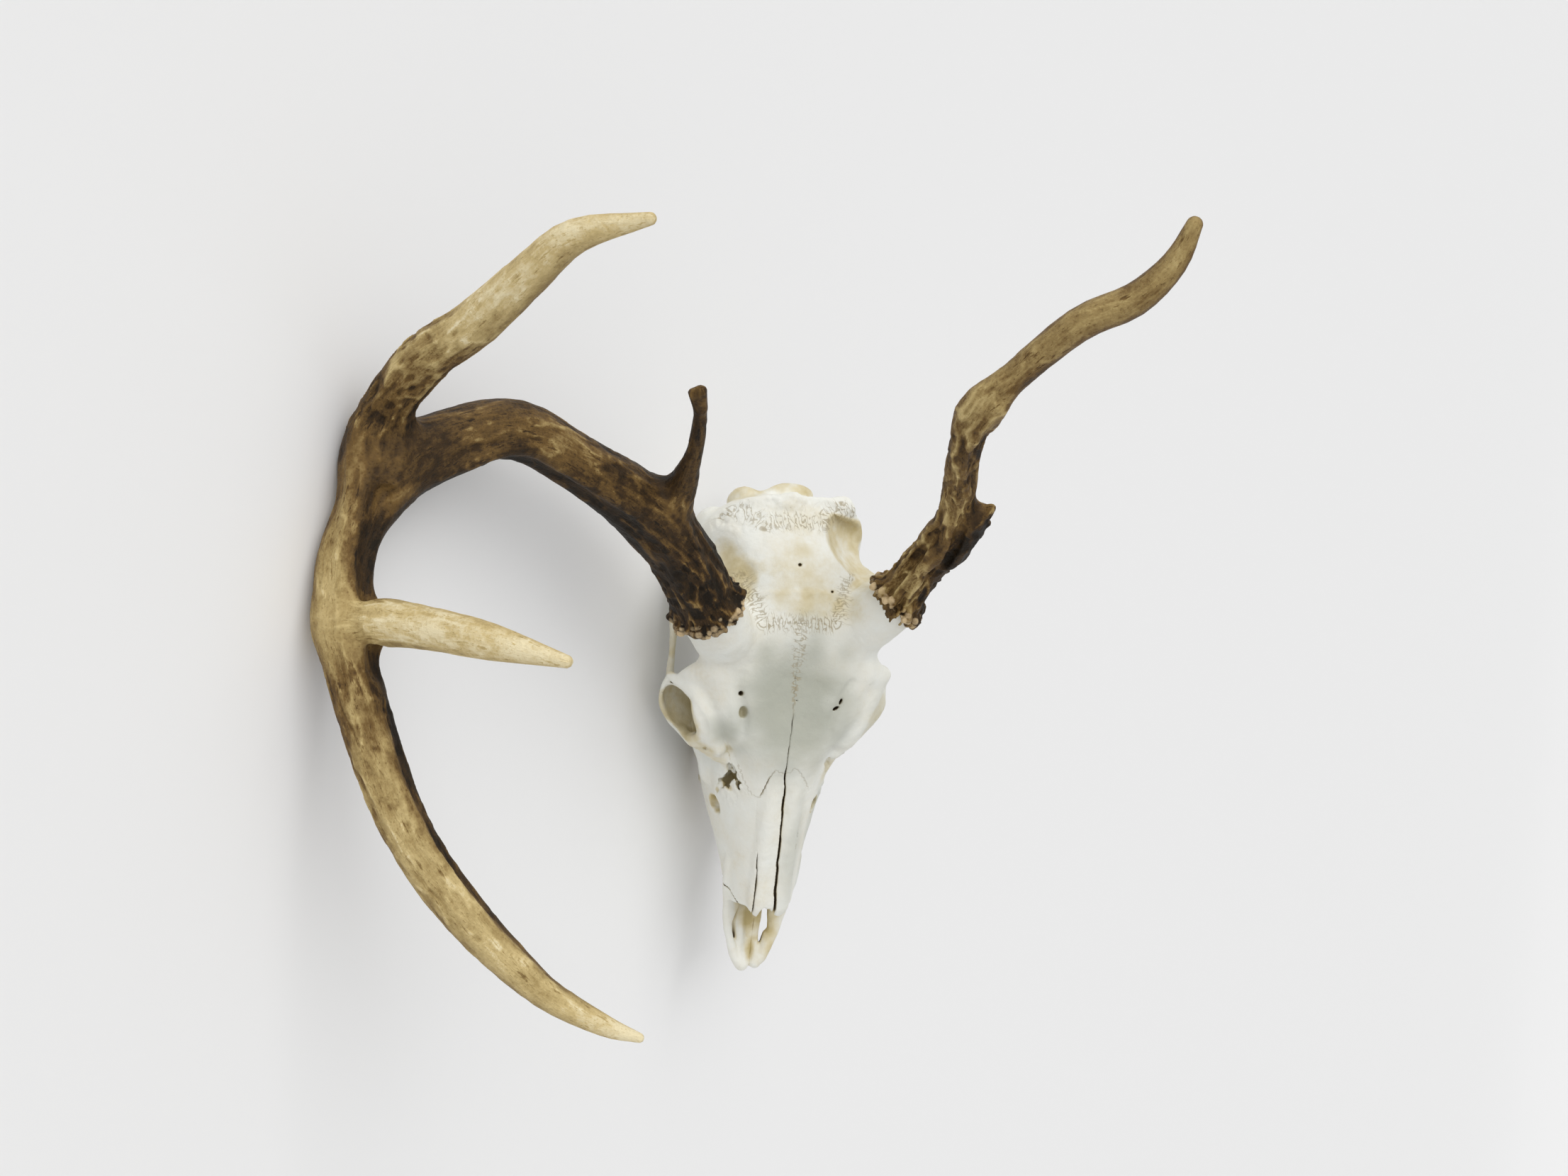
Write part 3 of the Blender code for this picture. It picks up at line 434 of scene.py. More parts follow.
def bar(stations, steps=4, margin=MARGIN):
    """Round bar: per step of the path, the distance to its line less the radius there."""
    rows = smooth_rows(stations, steps)

    def distance(x, y, z):
        result = numpy.full(numpy.broadcast_shapes(x.shape, y.shape, z.shape), FAR,
                            dtype=numpy.float32)
        for a, b in zip(rows, rows[1:]):
            reach = max(a[3], b[3]) + margin
            spans = [slice(*numpy.searchsorted(axis.ravel(), (min(a[i], b[i]) - reach,
                                                              max(a[i], b[i]) + reach)))
                     for i, axis in enumerate((x, y, z))]
            u, v, w = x[spans[0]] - a[0], y[:, spans[1]] - a[1], z[:, :, spans[2]] - a[2]
            way = (b - a)[:3]
            t = (u * way[0] + v * way[1] + w * way[2]) / max(way @ way, 1e-9)
            t = numpy.clip(t, 0.0, 1.0)
            gap = numpy.sqrt((u - t * way[0]) ** 2 + (v - t * way[1]) ** 2 + (w - t * way[2]) ** 2)
            gap = gap - (a[3] + t * (b[3] - a[3]))
            part = result[spans[0], spans[1], spans[2]]
            numpy.minimum(part, gap, out=part)
        return result

    low = (rows[:, :3] - rows[:, 3:4]).min(axis=0)
    high = (rows[:, :3] + rows[:, 3:4]).max(axis=0)
    return low, high, distance


def loft(sections):
    """Superellipse |x/w|^n + |z/h|^n = 1 across Y: the way out from its middle, radially."""
    rows = smooth_rows(sections, 8)

    def distance(x, y, z):
        flat = y.ravel()
        half, bottom, top, power, narrowing = (
            numpy.interp(flat, rows[:, 0], rows[:, k])[None, :, None].astype(numpy.float32)
            for k in range(1, 6))
        middle = 0.5 * (bottom + top)
        up = (z - middle) / (0.5 * (top - bottom))
        width = half * (1.0 - narrowing * (0.5 + 0.5 * numpy.clip(up, -1.0, 1.0)) ** 2)
        gauge = (numpy.abs(x / width) ** power + numpy.abs(up) ** power) ** (1.0 / power)
        side = numpy.sqrt(x ** 2 + (z - middle) ** 2) * (1.0 - 1.0 / numpy.maximum(gauge, 0.05))
        return numpy.maximum(side, numpy.maximum(rows[0, 0] - y, y - rows[-1, 0]))

    widest = rows[:, 1].max()
    low = numpy.array((-widest, rows[0, 0], rows[:, 2].min()))
    high = numpy.array((widest, rows[-1, 0], rows[:, 3].max()))
    return low, high, distance


def mirrored(shape):
    """The same shape on the other side of the midline."""
    low, high, distance = shape
    return (numpy.array((-high[0], low[1], low[2])), numpy.array((-low[0], high[1], high[2])),
            lambda x, y, z: distance(-x[::-1], y, z)[::-1])


def tooth(x, y, length, width, lobes):
    """Cheek tooth: round columns side by side, cut below by a grinding face with crescents.

    A column is |p|^3 + |q|^3 = 1 in its own width and length, narrower toward the face; the
    face rises where the distance from a point beside the column lies near a fixed radius.
    """
    lobe_length = length / lobes

    def distance(xs, ys, zs):
        spread = 1.0 - 0.16 * numpy.clip(1.0 - zs / TOOTH_HEIGHT, 0.0, 1.0)
        p = (xs - x) / (0.5 * width * spread)
        result = FAR
        for lobe in range(lobes):
            middle = y - length / 2 + lobe_length * (lobe + 0.5)
            q = (ys - middle) / (0.54 * lobe_length * spread)
            gauge = (numpy.abs(p) ** 3 + numpy.abs(q) ** 3) ** (1.0 / 3.0)
            column = 0.45 * lobe_length * (gauge - 1.0)
            pits = 0.0
            for start in (1.5, 0.7):
                ring = numpy.sqrt((p - start) ** 2 + (0.8 * q) ** 2) - CRESCENT_RADIUS
                pits = pits + numpy.exp(-(ring / 0.13) ** 2) * rise(1.0, 0.7, numpy.abs(q))
            face = 1.0 + 2.2 * pits - 1.2 * numpy.exp(-((p - 0.75) / 0.3) ** 2)
            result = numpy.minimum(result, numpy.maximum(column, face - zs))
        return numpy.maximum(result, zs - TOOTH_HEIGHT)

    reach = numpy.array((0.5 * width, 0.5 * length, 0.0))
    centre = numpy.array((x, y, 0.0))
    return centre - reach, centre + reach + (0.0, 0.0, TOOTH_HEIGHT), distance


# ----------------------------------------------------------------------- skins on a field
def skin(values, low, step):
    """Closed skin where a field is zero: one vertex in each grid cell that the surface
    passes through, at the mean of its crossings of the cell's edges, and one face for each
    grid edge it crosses, through the four cells round that edge."""
    inside = values < 0
    corners = list(itertools.product((0, 1), repeat=3))
    shape = [n - 1 for n in values.shape]
    count = numpy.zeros(shape, dtype=numpy.int8)
    for i, j, k in corners:
        count += inside[i:i + shape[0], j:j + shape[1], k:k + shape[2]]
    cells = numpy.argwhere((count > 0) & (count < 8))
    index = numpy.full(shape, -1, dtype=numpy.int32)
    index[cells[:, 0], cells[:, 1], cells[:, 2]] = numpy.arange(len(cells))
    level = {c: values[cells[:, 0] + c[0], cells[:, 1] + c[1], cells[:, 2] + c[2]] for c in corners}
    total = numpy.zeros((len(cells), 3))
    crossings = numpy.zeros(len(cells))
    for start in corners:
        for axis in range(3):
            if start[axis]:
                continue
            end = tuple(v + (i == axis) for i, v in enumerate(start))
            a, b = level[start].astype(float), level[end].astype(float)
            crossed = (a < 0) != (b < 0)
            t = numpy.where(crossed, a / numpy.where(crossed, a - b, 1.0), 0.0)
            place = numpy.array(start) + t[:, None] * (numpy.arange(3) == axis)
            total += numpy.where(crossed[:, None], place, 0.0)
            crossings += crossed
    points = low + step * (cells + total / crossings[:, None])
    faces = []
    for axis in range(3):
        one, two = [(1, 2), (2, 0), (0, 1)][axis]
        near = [slice(1, -1)] * 3
        far = [slice(1, -1)] * 3
        near[axis] = slice(0, -1)
        far[axis] = slice(1, None)
        a, b = inside[tuple(near)], inside[tuple(far)]
        for outward, crossed in ((True, a & ~b), (False, b & ~a)):
            place = numpy.argwhere(crossed) + (numpy.arange(3) != axis)
            ring = []
            for s, t in ((-1, -1), (0, -1), (0, 0), (-1, 0)):
                cell = place.copy()
                cell[:, one] += s
                cell[:, two] += t
                ring.append(index[cell[:, 0], cell[:, 1], cell[:, 2]])
            faces.append(numpy.stack(ring if outward else ring[::-1], axis=1))
    return points, numpy.vstack(faces)


def outward(points, faces):
    """Each vertex's normal: the sum of the crossed diagonals of the faces round it."""
    across = numpy.cross(points[faces[:, 2]] - points[faces[:, 0]],
                         points[faces[:, 3]] - points[faces[:, 1]])
    normals = numpy.stack([
        sum(numpy.bincount(faces[:, c], weights=across[:, k], minlength=len(points))
            for c in range(4)) for k in range(3)], axis=1)
    return normals / numpy.maximum(numpy.linalg.norm(normals, axis=1), 1e-9)[:, None]


def reach_from(points, centre, radii):
    """How far points lie from a centre, counted in an ellipsoid's radii."""
    return numpy.linalg.norm((points - centre) / numpy.array(radii), axis=1)


def closed_in(points, normals, field):
    """How closed in a place is, 0 to 1: how little the field opens 2 mm and 5 mm outward."""
    hollow = 0.0
    for reach in (2.0, 5.0):
        open_way = field.read(points + reach * normals) / reach
        hollow = hollow + 0.5 * numpy.clip(1.0 - open_way, 0.0, 1.0)
    return hollow


def put_in(name, points, quads, notes, material, fans=()):
    """A mesh object in its resting place, with named numbers kept on its vertices."""
    mesh = bpy.data.meshes.new(name)
    mesh.vertices.add(len(points))
    placed = (points @ TURN.T + REST_SHIFT) * MM
    placed[:, 2] = numpy.maximum(placed[:, 2], 0.0)         # what rests on the floor is flat there
    mesh.vertices.foreach_set("co", placed.astype(numpy.float32).ravel())
    fans = numpy.array(fans, dtype=int).reshape(-1, 3)
    corners = numpy.concatenate((quads.ravel(), fans.ravel()))
    starts = numpy.concatenate((numpy.arange(0, quads.size, 4),
                                quads.size + numpy.arange(0, fans.size, 3)))
    mesh.loops.add(len(corners))
    mesh.loops.foreach_set("vertex_index", corners.astype(numpy.int32))
    mesh.polygons.add(len(starts))
    mesh.polygons.foreach_set("loop_start", starts.astype(numpy.int32))
    mesh.update(calc_edges=True)
    normals = notes.pop("normal", None)
    for label, numbers in notes.items():
        kind, field = ("FLOAT", "value") if numbers.ndim == 1 else ("FLOAT_VECTOR", "vector")
        layer = mesh.attributes.new(label, kind, "POINT")
        layer.data.foreach_set(field, numbers.astype(numpy.float32).ravel())
    mesh.polygons.foreach_set("use_smooth", numpy.arange(len(starts)) < len(quads))
    if len(fans):
        a, b, c = (points[fans[:, k]] for k in range(3))
        flat = numpy.cross(b - a, c - a)
        flat /= numpy.maximum(numpy.linalg.norm(flat, axis=1), 1e-9)[:, None]
        corner_normals = numpy.vstack((normals[quads.ravel()], numpy.repeat(flat, 3, axis=0)))
        mesh.normals_split_custom_set((corner_normals @ TURN.T).tolist())
    mesh.materials.append(material)
    piece = bpy.data.objects.new(name, mesh)
    bpy.context.collection.objects.link(piece)
    return piece


# ------------------------------------------------------------------------------ the skull
def ragged(shape, reach, pitch, seed):
    """A shape whose surface wanders by noise."""
    low, high, distance = shape

    def uneven(x, y, z):
        places = numpy.stack(numpy.broadcast_arrays(x / pitch, y / pitch, z / pitch), axis=-1)
        return distance(x, y, z) + reach * noise(places, seed)

    return low, high, uneven


def clipped(shape, facing, reach):
    """A shape kept behind a plane: as far as the reach along the way the plane faces."""
    low, high, distance = shape
    return low, high, lambda x, y, z: numpy.maximum(
        distance(x, y, z), x * facing[0] + y * facing[1] + z * facing[2] - reach)


def skull_field(step):
    """The whole head: masses melted together, hollowed, thin bones added, then holes."""
    field = Field(*HEAD_BOX, step)
    for sections in (CRANIUM, FOREHEAD, FACE, SKULL_FLOOR):
        field.join(loft(sections), 5.0)
    for place, (right, back, reach), blend in TEMPLE_FOSSAE:
        field.hollow(clipped(lump(*place), (right, back, 0.0), reach), blend)
    for rows in PEDICLES + TEMPLE_WALLS:
        field.join(bar(rows), 7.0)
    field.hollow(lump(*FOREHEAD_DIP), 6.0)
    for shape in [lump(*place) for place in ORBIT_FLOORS] + [bar(rows) for rows in BROW_SHELVES]:
        field.join(shape, 5.0)
    left_cup, right_cup = (clipped(lump(*ORBIT_CUP), ORBIT_PLANE, reach) for reach in ORBIT_REACHES)
    for cup in (left_cup, mirrored(right_cup)):
        field.join(cup, 2.0)
    for shape, blend in ((lump(*ORBIT), 1.0), (lump(*TEMPLE_HOLLOW), 5.0)):
        field.hollow(shape, blend)
        field.hollow(mirrored(shape), blend)
    for place in (NOSE_HOLLOW, PALATE_VAULT, THROAT_HOLLOW):
        field.hollow(lump(*place), 2.5)
    for shape in (bar(NASAL_RIDGE), mirrored(bar(NASAL_RIDGE))):
        field.join(shape, 2.0)
    for rows in LACRIMALS + BROW_EDGES:
        field.join(bar(rows), 6.0)
    for rows in ORBIT_RIMS + CHEEK_ARCHES + JAW_EDGES + JAW_MIDDLES + JAW_WEBS + (VOMER, JAW_SHELF):
        field.join(bar(rows), 2.5)
    for rows in NECK_CRESTS:
        field.join(bar(rows), 6.0)
    thin = [bar(rows) for rows in (SIDE_PRONG, PALATE_PLATE, PALATE_HOOK)]
    for shape in thin + [lump(*place) for place in (EAR_BULLA, JAW_SOCKET, EAR_BACK, NASAL_TIP)]:
        field.join(shape, 3.0)
        field.join(mirrored(shape), 3.0)
    for place in CONDYLES + NECK_KNOBS:
        field.join(lump(*place), 3.0)
    for rows in BROW_GUTTERS:
        field.hollow(bar(rows), 2.0)
    for shape in [bar(rows) for rows in TEAR_GAPS] + [lump(*place) for place in TEAR_HOLES]:
        field.hollow(ragged(shape, 1.3, 2.6, 51), 0.8)
    field.hollow(lump(*NASAL_NOTCH), 0.8)
    for shape in (lump(*NERVE_HOLE), mirrored(lump(*NERVE_HOLE)), lump(*NECK_OPENING)):
        field.hollow(shape, 2.0)
    for place in BROW_HOLES + VESSEL_HOLES:
        field.hollow(lump(*place), 0.8)
    y = TOOTH_ROW_BACK
    for i, (length, width, x) in enumerate(zip(TOOTH_LENGTHS, TOOTH_WIDTHS, TOOTH_CENTRES_X)):
        lobes = 2 if i < TWO_LOBED_TEETH else 1
        shape = tooth(x, y - length / 2, length - TOOTH_GAP, width, lobes)
        field.join(shape, 1.2)
        field.join(mirrored(shape), 1.2)
        y -= length
    return field


# Seams seen from above: (x, y) along the first two, and (y, x, how far they gape) along the midline
CORONAL = ((-80, 74), (-45, 70), (-30, 66), (-25, 55), (-20, 42.5),
           (0, 42), (19.5, 42), (23.5, 54), (28, 66), (45, 70), (80, 74))
LAMBDOID = ((-80, 96), (-48, 95), (-32, 103), (-22, 99), (-17, 93.5),
            (-8, 95.5), (8, 95.5), (15.5, 93), (18, 100), (28, 104), (80, 100))
MIDLINE = ((-130, 3.2, 0.5), (-122, 3.1, 0.5), (-108, 2.1, 0.55), (-97.5, 1.8, 0.55),
           (-87, 1.4, 0.5), (-78, 1.6, 0.38), (-68, 1, 0.3), (-62, 0.9, 0.14),
           (-56, 0.9, 0.32), (-48, 0.6, 0.3), (-41, -0.6, 0.34), (-35, -0.8, 0.18),
           (-28, -0.8, 0.12), (-11, 0.6, 0.09), (-5, 0.6, -0.2), (130, 0.5, -0.2))
# More edges of bones: (y, x) down the jaw's middle and the nasals' sides, (x, y) across the head
JAW_SPLIT = ((-164, -2.4), (-140, -1.3), (-115, 0))
NASAL_RIGHT = ((-126, -10.4), (-113, -10.4), (-103, -10), (-86, -10.9), (-70, -12.6),
               (-57, -14.6), (-50, -16.8))
NASAL_LEFT = ((-126, 13.2), (-115, 13), (-104, 11.9), (-93, 11), (-70, 12.2), (-48, 13.8))
NASAL_BACK = ((-16.8, -57), (-16.2, -51.6), (-14.1, -54.2), (-12.1, -53.8), (-10.9, -49.9),
              (-9, -43), (-6.6, -38), (-1.7, -40.1), (1.4, -39.7), (4.2, -36.9),
              (7.9, -39.9), (11, -44), (14, -48.5))
FRONTAL_FRONT = ((-46, -28), (-30, -30), (-27, -35), (-24, -41), (-20, -50),
                 (-17, -54), (14, -52), (20, -46), (26, -36), (46, -28))
# How far the right nasal gapes from the jaw, at each y; the fine cracks, (x, y) along each; and
# the front edge of the upper jaw, (z, y)
NASAL_CRACK = ((-122, 1.3), (-113, 1.2), (-103, 1.05), (-92, 0.7), (-86, 0.45), (-83, -0.2))
CRACKS = (
    ((-24, -37), (-21.7, -43.1), (-19.2, -48.1), (-16.9, -51.9)) + NASAL_BACK[2:],
    ((-40, -35.6), (-38.2, -41), (-35.1, -47.6)), ((-43, -33), (-41.5, -38)),
    ((-26, -60), (-21.5, -65.4), (-17.5, -67.7), (-14.1, -72)),
)
FRONT_JAW = ((0, -104), (36, -106), (42, -109.5), (50, -118), (60, -125))
CLOSED_GAP = -0.45              # bones that have grown together overlap a little
NECK_LEAN = 0.22                # how the seam to the occiput slopes forward, mm per mm down
NECK_HEIGHT = 92.0              # the height where that seam runs as LAMBDOID says
JAW_CRACK = 1.3                 # the open seam before the right upper jaw
JAW_OVERLAP = 0.15              # how far the two halves of the front jaw overlap
NASAL_FLOOR = (0.33, -125.0, 55.5)      # the plane below the nasals: slope, y and z of a place on it
CASE_FOOT = 46.0                # heights where the braincase and the frontals end below
FRONTAL_FOOT = 66.0
BASE_FRONT = 3.0                # the y where the base of the skull meets the upper jaws
ARCH_INNER = 46.0               # the box that holds a cheek arch: its inner x, its y and its z
ARCH_LENGTH = (-44.0, 90.0)
ARCH_HEIGHT = (38.0, 71.0)

# Stained places: centre, radii and strength
STAINS = (
    ((-33, 66, 100), (14, 17, 14), 0.65), ((-17, 110, 52), (15, 14, 18), 0.6),
    ((9, 112, 52), (19, 15, 18), 0.6), ((31, 50, 106), (13, 10, 12), 0.3),
    ((0, 68, 112), (26, 20, 14), 0.2), ((-58, 24, 58), (9, 34, 12), 0.3),
    ((58, 24, 58), (9, 34, 12), 0.3), ((0, 50, 36), (34, 62, 12), 0.3),
    ((-62, -4, 63), (8, 18, 12), 0.6), ((2, 98, 94), (34, 12, 10), 0.2),
    ((0, -40, 12), (20, 70, 9), 0.3), ((-33, -44, 78), (9, 13, 12), 0.45),
    ((31, -44, 74), (9, 13, 12), 0.4), ((5, -150, 26), (12, 18, 8), 0.3),
    ((4, -126, 30), (15, 20, 10), 0.75), ((-2.6, -138, 27), (4, 22, 6), 0.6),
    ((-42, -27, 76), (14, 7, 9), 0.5), ((10, -143, 27), (6, 13, 6), 0.45),
    ((8, 70, 112), (40, 30, 16), 0.18), ((12, 54, 110), (14, 10, 10), 0.25),
    ((-26.7, -6, 94), (4, 5, 5), 0.8), ((40, 60, 92), (12, 14, 22), 0.5),
)
# Rough bone: centre and radii
ROUGH_PLACES = (((-25, -52, 66), (9, 13, 14)), ((-39, -29, 74), (12, 6, 8)),
                ((27, -48, 62), (6, 14, 10)), ((0, 109, 74), (20, 8, 12)),
                ((-50, 47.5, 116.5), (19, 19, 10)), ((46, 51, 114), (17, 17, 10)))
# Painted shade, greyer where the forehead, the brows and the left of the face lie in shade:
# centre, radii and strength
PAINTED_SHADES = (
    ((0, -2, 100), (42, 50, 44), 1), ((-34, -16, 90), (14, 12, 14), 0.8),
    ((24, -14, 96), (16, 26, 20), 0.7), ((10, -88, 72), (7.5, 50, 24), 0.5),
    ((26, -80, 50), (10, 50, 30), 0.6), ((50, -4, 86), (12, 24, 12), 0.35),
)
# Stained hollows: how strong the stain is in each, and in its like on the other side
STAINED_HOLLOWS = ((ORBIT, 0.3, 0.6), (TEMPLE_HOLLOW, 0.4, 0.4), (NOSE_HOLLOW, 0.6, 0.6),
                   (TEAR_HOLES[0], 0.9, 0), (TEAR_HOLES[1], 0.9, 0), (TEAR_HOLES[3], 1, 1),
                   (TEAR_HOLES[4], 1, 0))


def beside(x, y, path):
    """How far a place lies along a path in plan, and how far off it, the left side positive."""
    along = 0.0
    off = 0.0
    nearest = 1e6
    run = 0.0
    for (ax, ay), (bx, by) in zip(path, path[1:]):
        length = math.hypot(bx - ax, by - ay)
        ux, uy = (bx - ax) / length, (by - ay) / length
        t = numpy.clip((x - ax) * ux + (y - ay) * uy, 0.0, length)
        gap = numpy.hypot(x - ax - t * ux, y - ay - t * uy)
        side = numpy.where(ux * (y - ay) - uy * (x - ax) < 0, -gap, gap)
        closer = gap < nearest
        along = numpy.where(closer, run + t, along)
        off = numpy.where(closer, side, off)
        nearest = numpy.where(closer, gap, nearest)
        run += length
    return along, off


def steps(rows, value, column=1):
    """A column of a table of rows at any value of its first column."""
    table = numpy.array(rows)
    return numpy.interp(value, table[:, 0], table[:, column])


def coronal(x, y):
    """Along the coronal seam, off it (behind positive), and how far its fingers reach."""
    along, off = beside(x, y, CORONAL)
    return along, off, 3.1 * rise(36.0, 27.0, numpy.abs(x))


def lambdoid(x, y, z):
    """The same for the seam between braincase and occiput."""
    along, off = beside(x, y - NECK_LEAN * (z - NECK_HEIGHT), LAMBDOID)
    return along, off, 4.4 * rise(42.0, 30.0, numpy.abs(x))


def frontal_seam(x, y):
    """The same for the seam between the frontals, left positive; straight toward the nose."""
    return y + 0.0 * x, x - steps(MIDLINE, y), 3.0 * rise(-14.0, 30.0, y) * rise(46.0, 42.0, y)


def cracks(x, y):
    """The same for the nearest of the fine cracks."""
    found = [beside(x, y, path) for path in CRACKS]
    nearest = numpy.argmin(numpy.abs([off for _, off in found]), axis=0)
    return (numpy.choose(nearest, [along for along, _ in found]),
            numpy.choose(nearest, [off for _, off in found]), 0.45)


def bone_regions(x, y, z):
    """Each bone's region in the order they are taken: its field, negative inside."""
    spots = numpy.stack(numpy.broadcast_arrays(x[..., 0] / 6.0, y[..., 0] / 6.0, 0.3), axis=-1)
    waver = (1.1 * noise(spots, 21))[..., None]
    flat_y, flat_z = y.ravel(), z.ravel()
    right = steps(NASAL_RIGHT, flat_y)[None, :, None]
    left = steps(NASAL_LEFT, flat_y)[None, :, None]
    back = steps(NASAL_BACK, x.ravel())[:, None, None]
    slope, floor_y, floor_z = NASAL_FLOOR
    floor = (slope * (y - floor_y) - (z - floor_z)) / 1.05
    yield "nasal", numpy.maximum(numpy.maximum(numpy.maximum(right - x, x - left), y - back), floor)
    yield "premaxilla", 0.8 * (y - steps(FRONT_JAW, flat_z)[None, None, :]) + waver * 0.3
    yield "occiput", -lambdoid(x, y, z)[1]
    behind = -coronal(x[..., 0], y[..., 0])[1][..., None]
    yield "braincase", numpy.maximum(behind, CASE_FOOT + waver - z)
    (front, rear), (low, high) = ARCH_LENGTH, ARCH_HEIGHT
    arch = numpy.maximum(ARCH_INNER + waver - numpy.abs(x), numpy.maximum(front + waver - y, y - rear))
    yield "zygomatic", numpy.maximum(arch, numpy.maximum(low - z, z - high - waver))
    front = steps(FRONTAL_FRONT, x.ravel())[:, None, None] + 1.5 * waver
    yield "frontal", numpy.maximum(front - y, FRONTAL_FOOT + waver - z)
    yield "skull_base", BASE_FRONT - y + waver
    yield "maxilla", numpy.full((1, 1, 1), -FAR)


def bone_notes(points, normals, field):
    """What the bone's colours need at each vertex: stain, painted shade, hollow and tooth from 0 to
    1, and for each kind of seam the way along it, the way off it and its fingers' reach."""
    x, y, z = points.T
    stain = numpy.zeros(len(points))
    wander = 0.25 * noise(points / 9.0, 31)
    for centre, radii, strength in STAINS:
        stain += strength * rise(1.15, 0.55, reach_from(points, centre, radii) + wander)
    sides = points, points * (-1.0, 1.0, 1.0)
    for place, *strengths in STAINED_HOLLOWS:
        for spots, strength in zip(sides, strengths):
            reach = lump(*place)[2](*spots.T)
            stain = numpy.maximum(stain, strength * rise(1.6, -0.4, reach))
    for place, (right, back, reach), _ in TEMPLE_FOSSAE:
        gap = numpy.maximum(lump(*place)[2](x, y, z), right * x + back * y - reach)
        stain = numpy.maximum(stain, 0.6 * rise(2.0, -0.5, gap))
    stain *= 0.9 + 0.4 * fractal(points / 7.0, 3, 32)
    # painted shade: greyer where the forehead and the left of the face lie in shade
    shade = numpy.zeros(len(points))
    wander = 0.15 * noise(points / 9.0, 33)
    for centre, radii, strength in PAINTED_SHADES:
        reach = reach_from(points, centre, radii)
        shade = numpy.maximum(shade, strength * rise(1.2, 0.3, reach + wander))
    row = rise(TOOTH_ROW_FRONT, TOOTH_ROW_FRONT + 2.0, y) * rise(TOOTH_ROW_BACK + 2.0, TOOTH_ROW_BACK, y)
    row *= rise(8.0, 9.0, numpy.abs(x))
    notes = {"stain": numpy.clip(stain, 0.0, 1.0), "shade": shade,
             "hollow": closed_in(points, normals, field), "tooth": row * rise(15.0, 11.5, z)}
    low = rise(70.0, 80.0, z)
    for name, (along, off, reach) in (("coronal", coronal(x, y)), ("lambdoid", lambdoid(x, y, z)),
                                      ("midline", frontal_seam(x, y)), ("crack", cracks(x, y))):
        notes[name] = numpy.stack((along, off, reach * low), axis=1)
    return notes


def make_bones(settings, material):
    """Draws every bone of the skull as its own closed skin, parted along the seams."""
    field = skull_field(settings.bone_grain * METRE * COARSER)
    x, y, z = (axis.reshape([-1 if i == k else 1 for i in range(3)]).astype(numpy.float32)
               for k, axis in enumerate(field.axes))
    gap = CLOSED_GAP
    taken = numpy.full((1, 1, 1), -FAR, dtype=numpy.float32)
    middle = steps(MIDLINE, y.ravel())[None, :, None]
    crack = steps(MIDLINE, y.ravel(), 2)[None, :, None]
    middle = middle + 0.3 * noise(numpy.stack((y / 4.0, 0.0 * y, 0.0 * y), axis=-1), 22)
    jaw = steps(JAW_SPLIT, y.ravel())[None, :, None]
    side_crack = steps(NASAL_CRACK, y.ravel())[None, :, None]
    for name, region in bone_regions(x, y, z):
        inside = numpy.maximum(region, taken) + gap
        if name == "nasal":
            inside = numpy.where(x < 0, inside - gap + side_crack, inside)
        elif name == "premaxilla":
            inside = numpy.where(x < 0, inside - gap + JAW_CRACK, inside)
        taken = numpy.maximum(taken, -region)
        if name in ("occiput", "braincase", "skull_base"):
            halves = [("", None)]
        elif name in ("frontal", "nasal"):
            halves = [("_right", x - middle + crack), ("_left", middle + crack - x)]
        elif name == "premaxilla":
            halves = [("_right", x - jaw - JAW_OVERLAP), ("_left", jaw - JAW_OVERLAP - x)]
        else:
            halves = [("_right", x + gap), ("_left", gap - x)]
        for ending, half in halves:
            values = numpy.maximum(field.values, inside)
            if half is not None:
                values = numpy.maximum(values, half)
            bone_piece(name + ending, values, field, settings, material)


def bone_piece(name, values, field, settings, material):
    """One bone: its skin, a low relief of bone grain, and the numbers its colours need."""
    solid = values < 0
    spans = []
    for axis in range(3):
        filled = numpy.flatnonzero(solid.any(axis=tuple(k for k in range(3) if k != axis)))
        spans.append(slice(max(filled[0] - 2, 0), filled[-1] + 3))
    low = [axis[span][0] for axis, span in zip(field.axes, spans)]
    points, faces = skin(values[tuple(spans)], numpy.array(low), field.step)
    normals = outward(points, faces)
    depth = field.read(points)
    shown = rise(-1.2, -0.4, depth)
    relief = 0.32 * fractal(points / 10.0, 2, 41) + 0.10 * fractal(points / 2.6, 2, 42)
    rough = rise(84.0, 95.0, points[:, 1]) * rise(70.0, 80.0, points[:, 2])
    for centre, radii in ROUGH_PLACES:
        rough = numpy.maximum(rough, 1.6 * rise(1.1, 0.5, reach_from(points, centre, radii)))
    relief += 0.5 * rough * fractal(points / 3.6, 3, 43)
    points = points + (settings.bone_relief * shown * relief)[:, None] * normals
    piece = put_in("bone_" + name, points, faces, bone_notes(points, normals, field), material)
    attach(piece, "root")
    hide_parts(name)
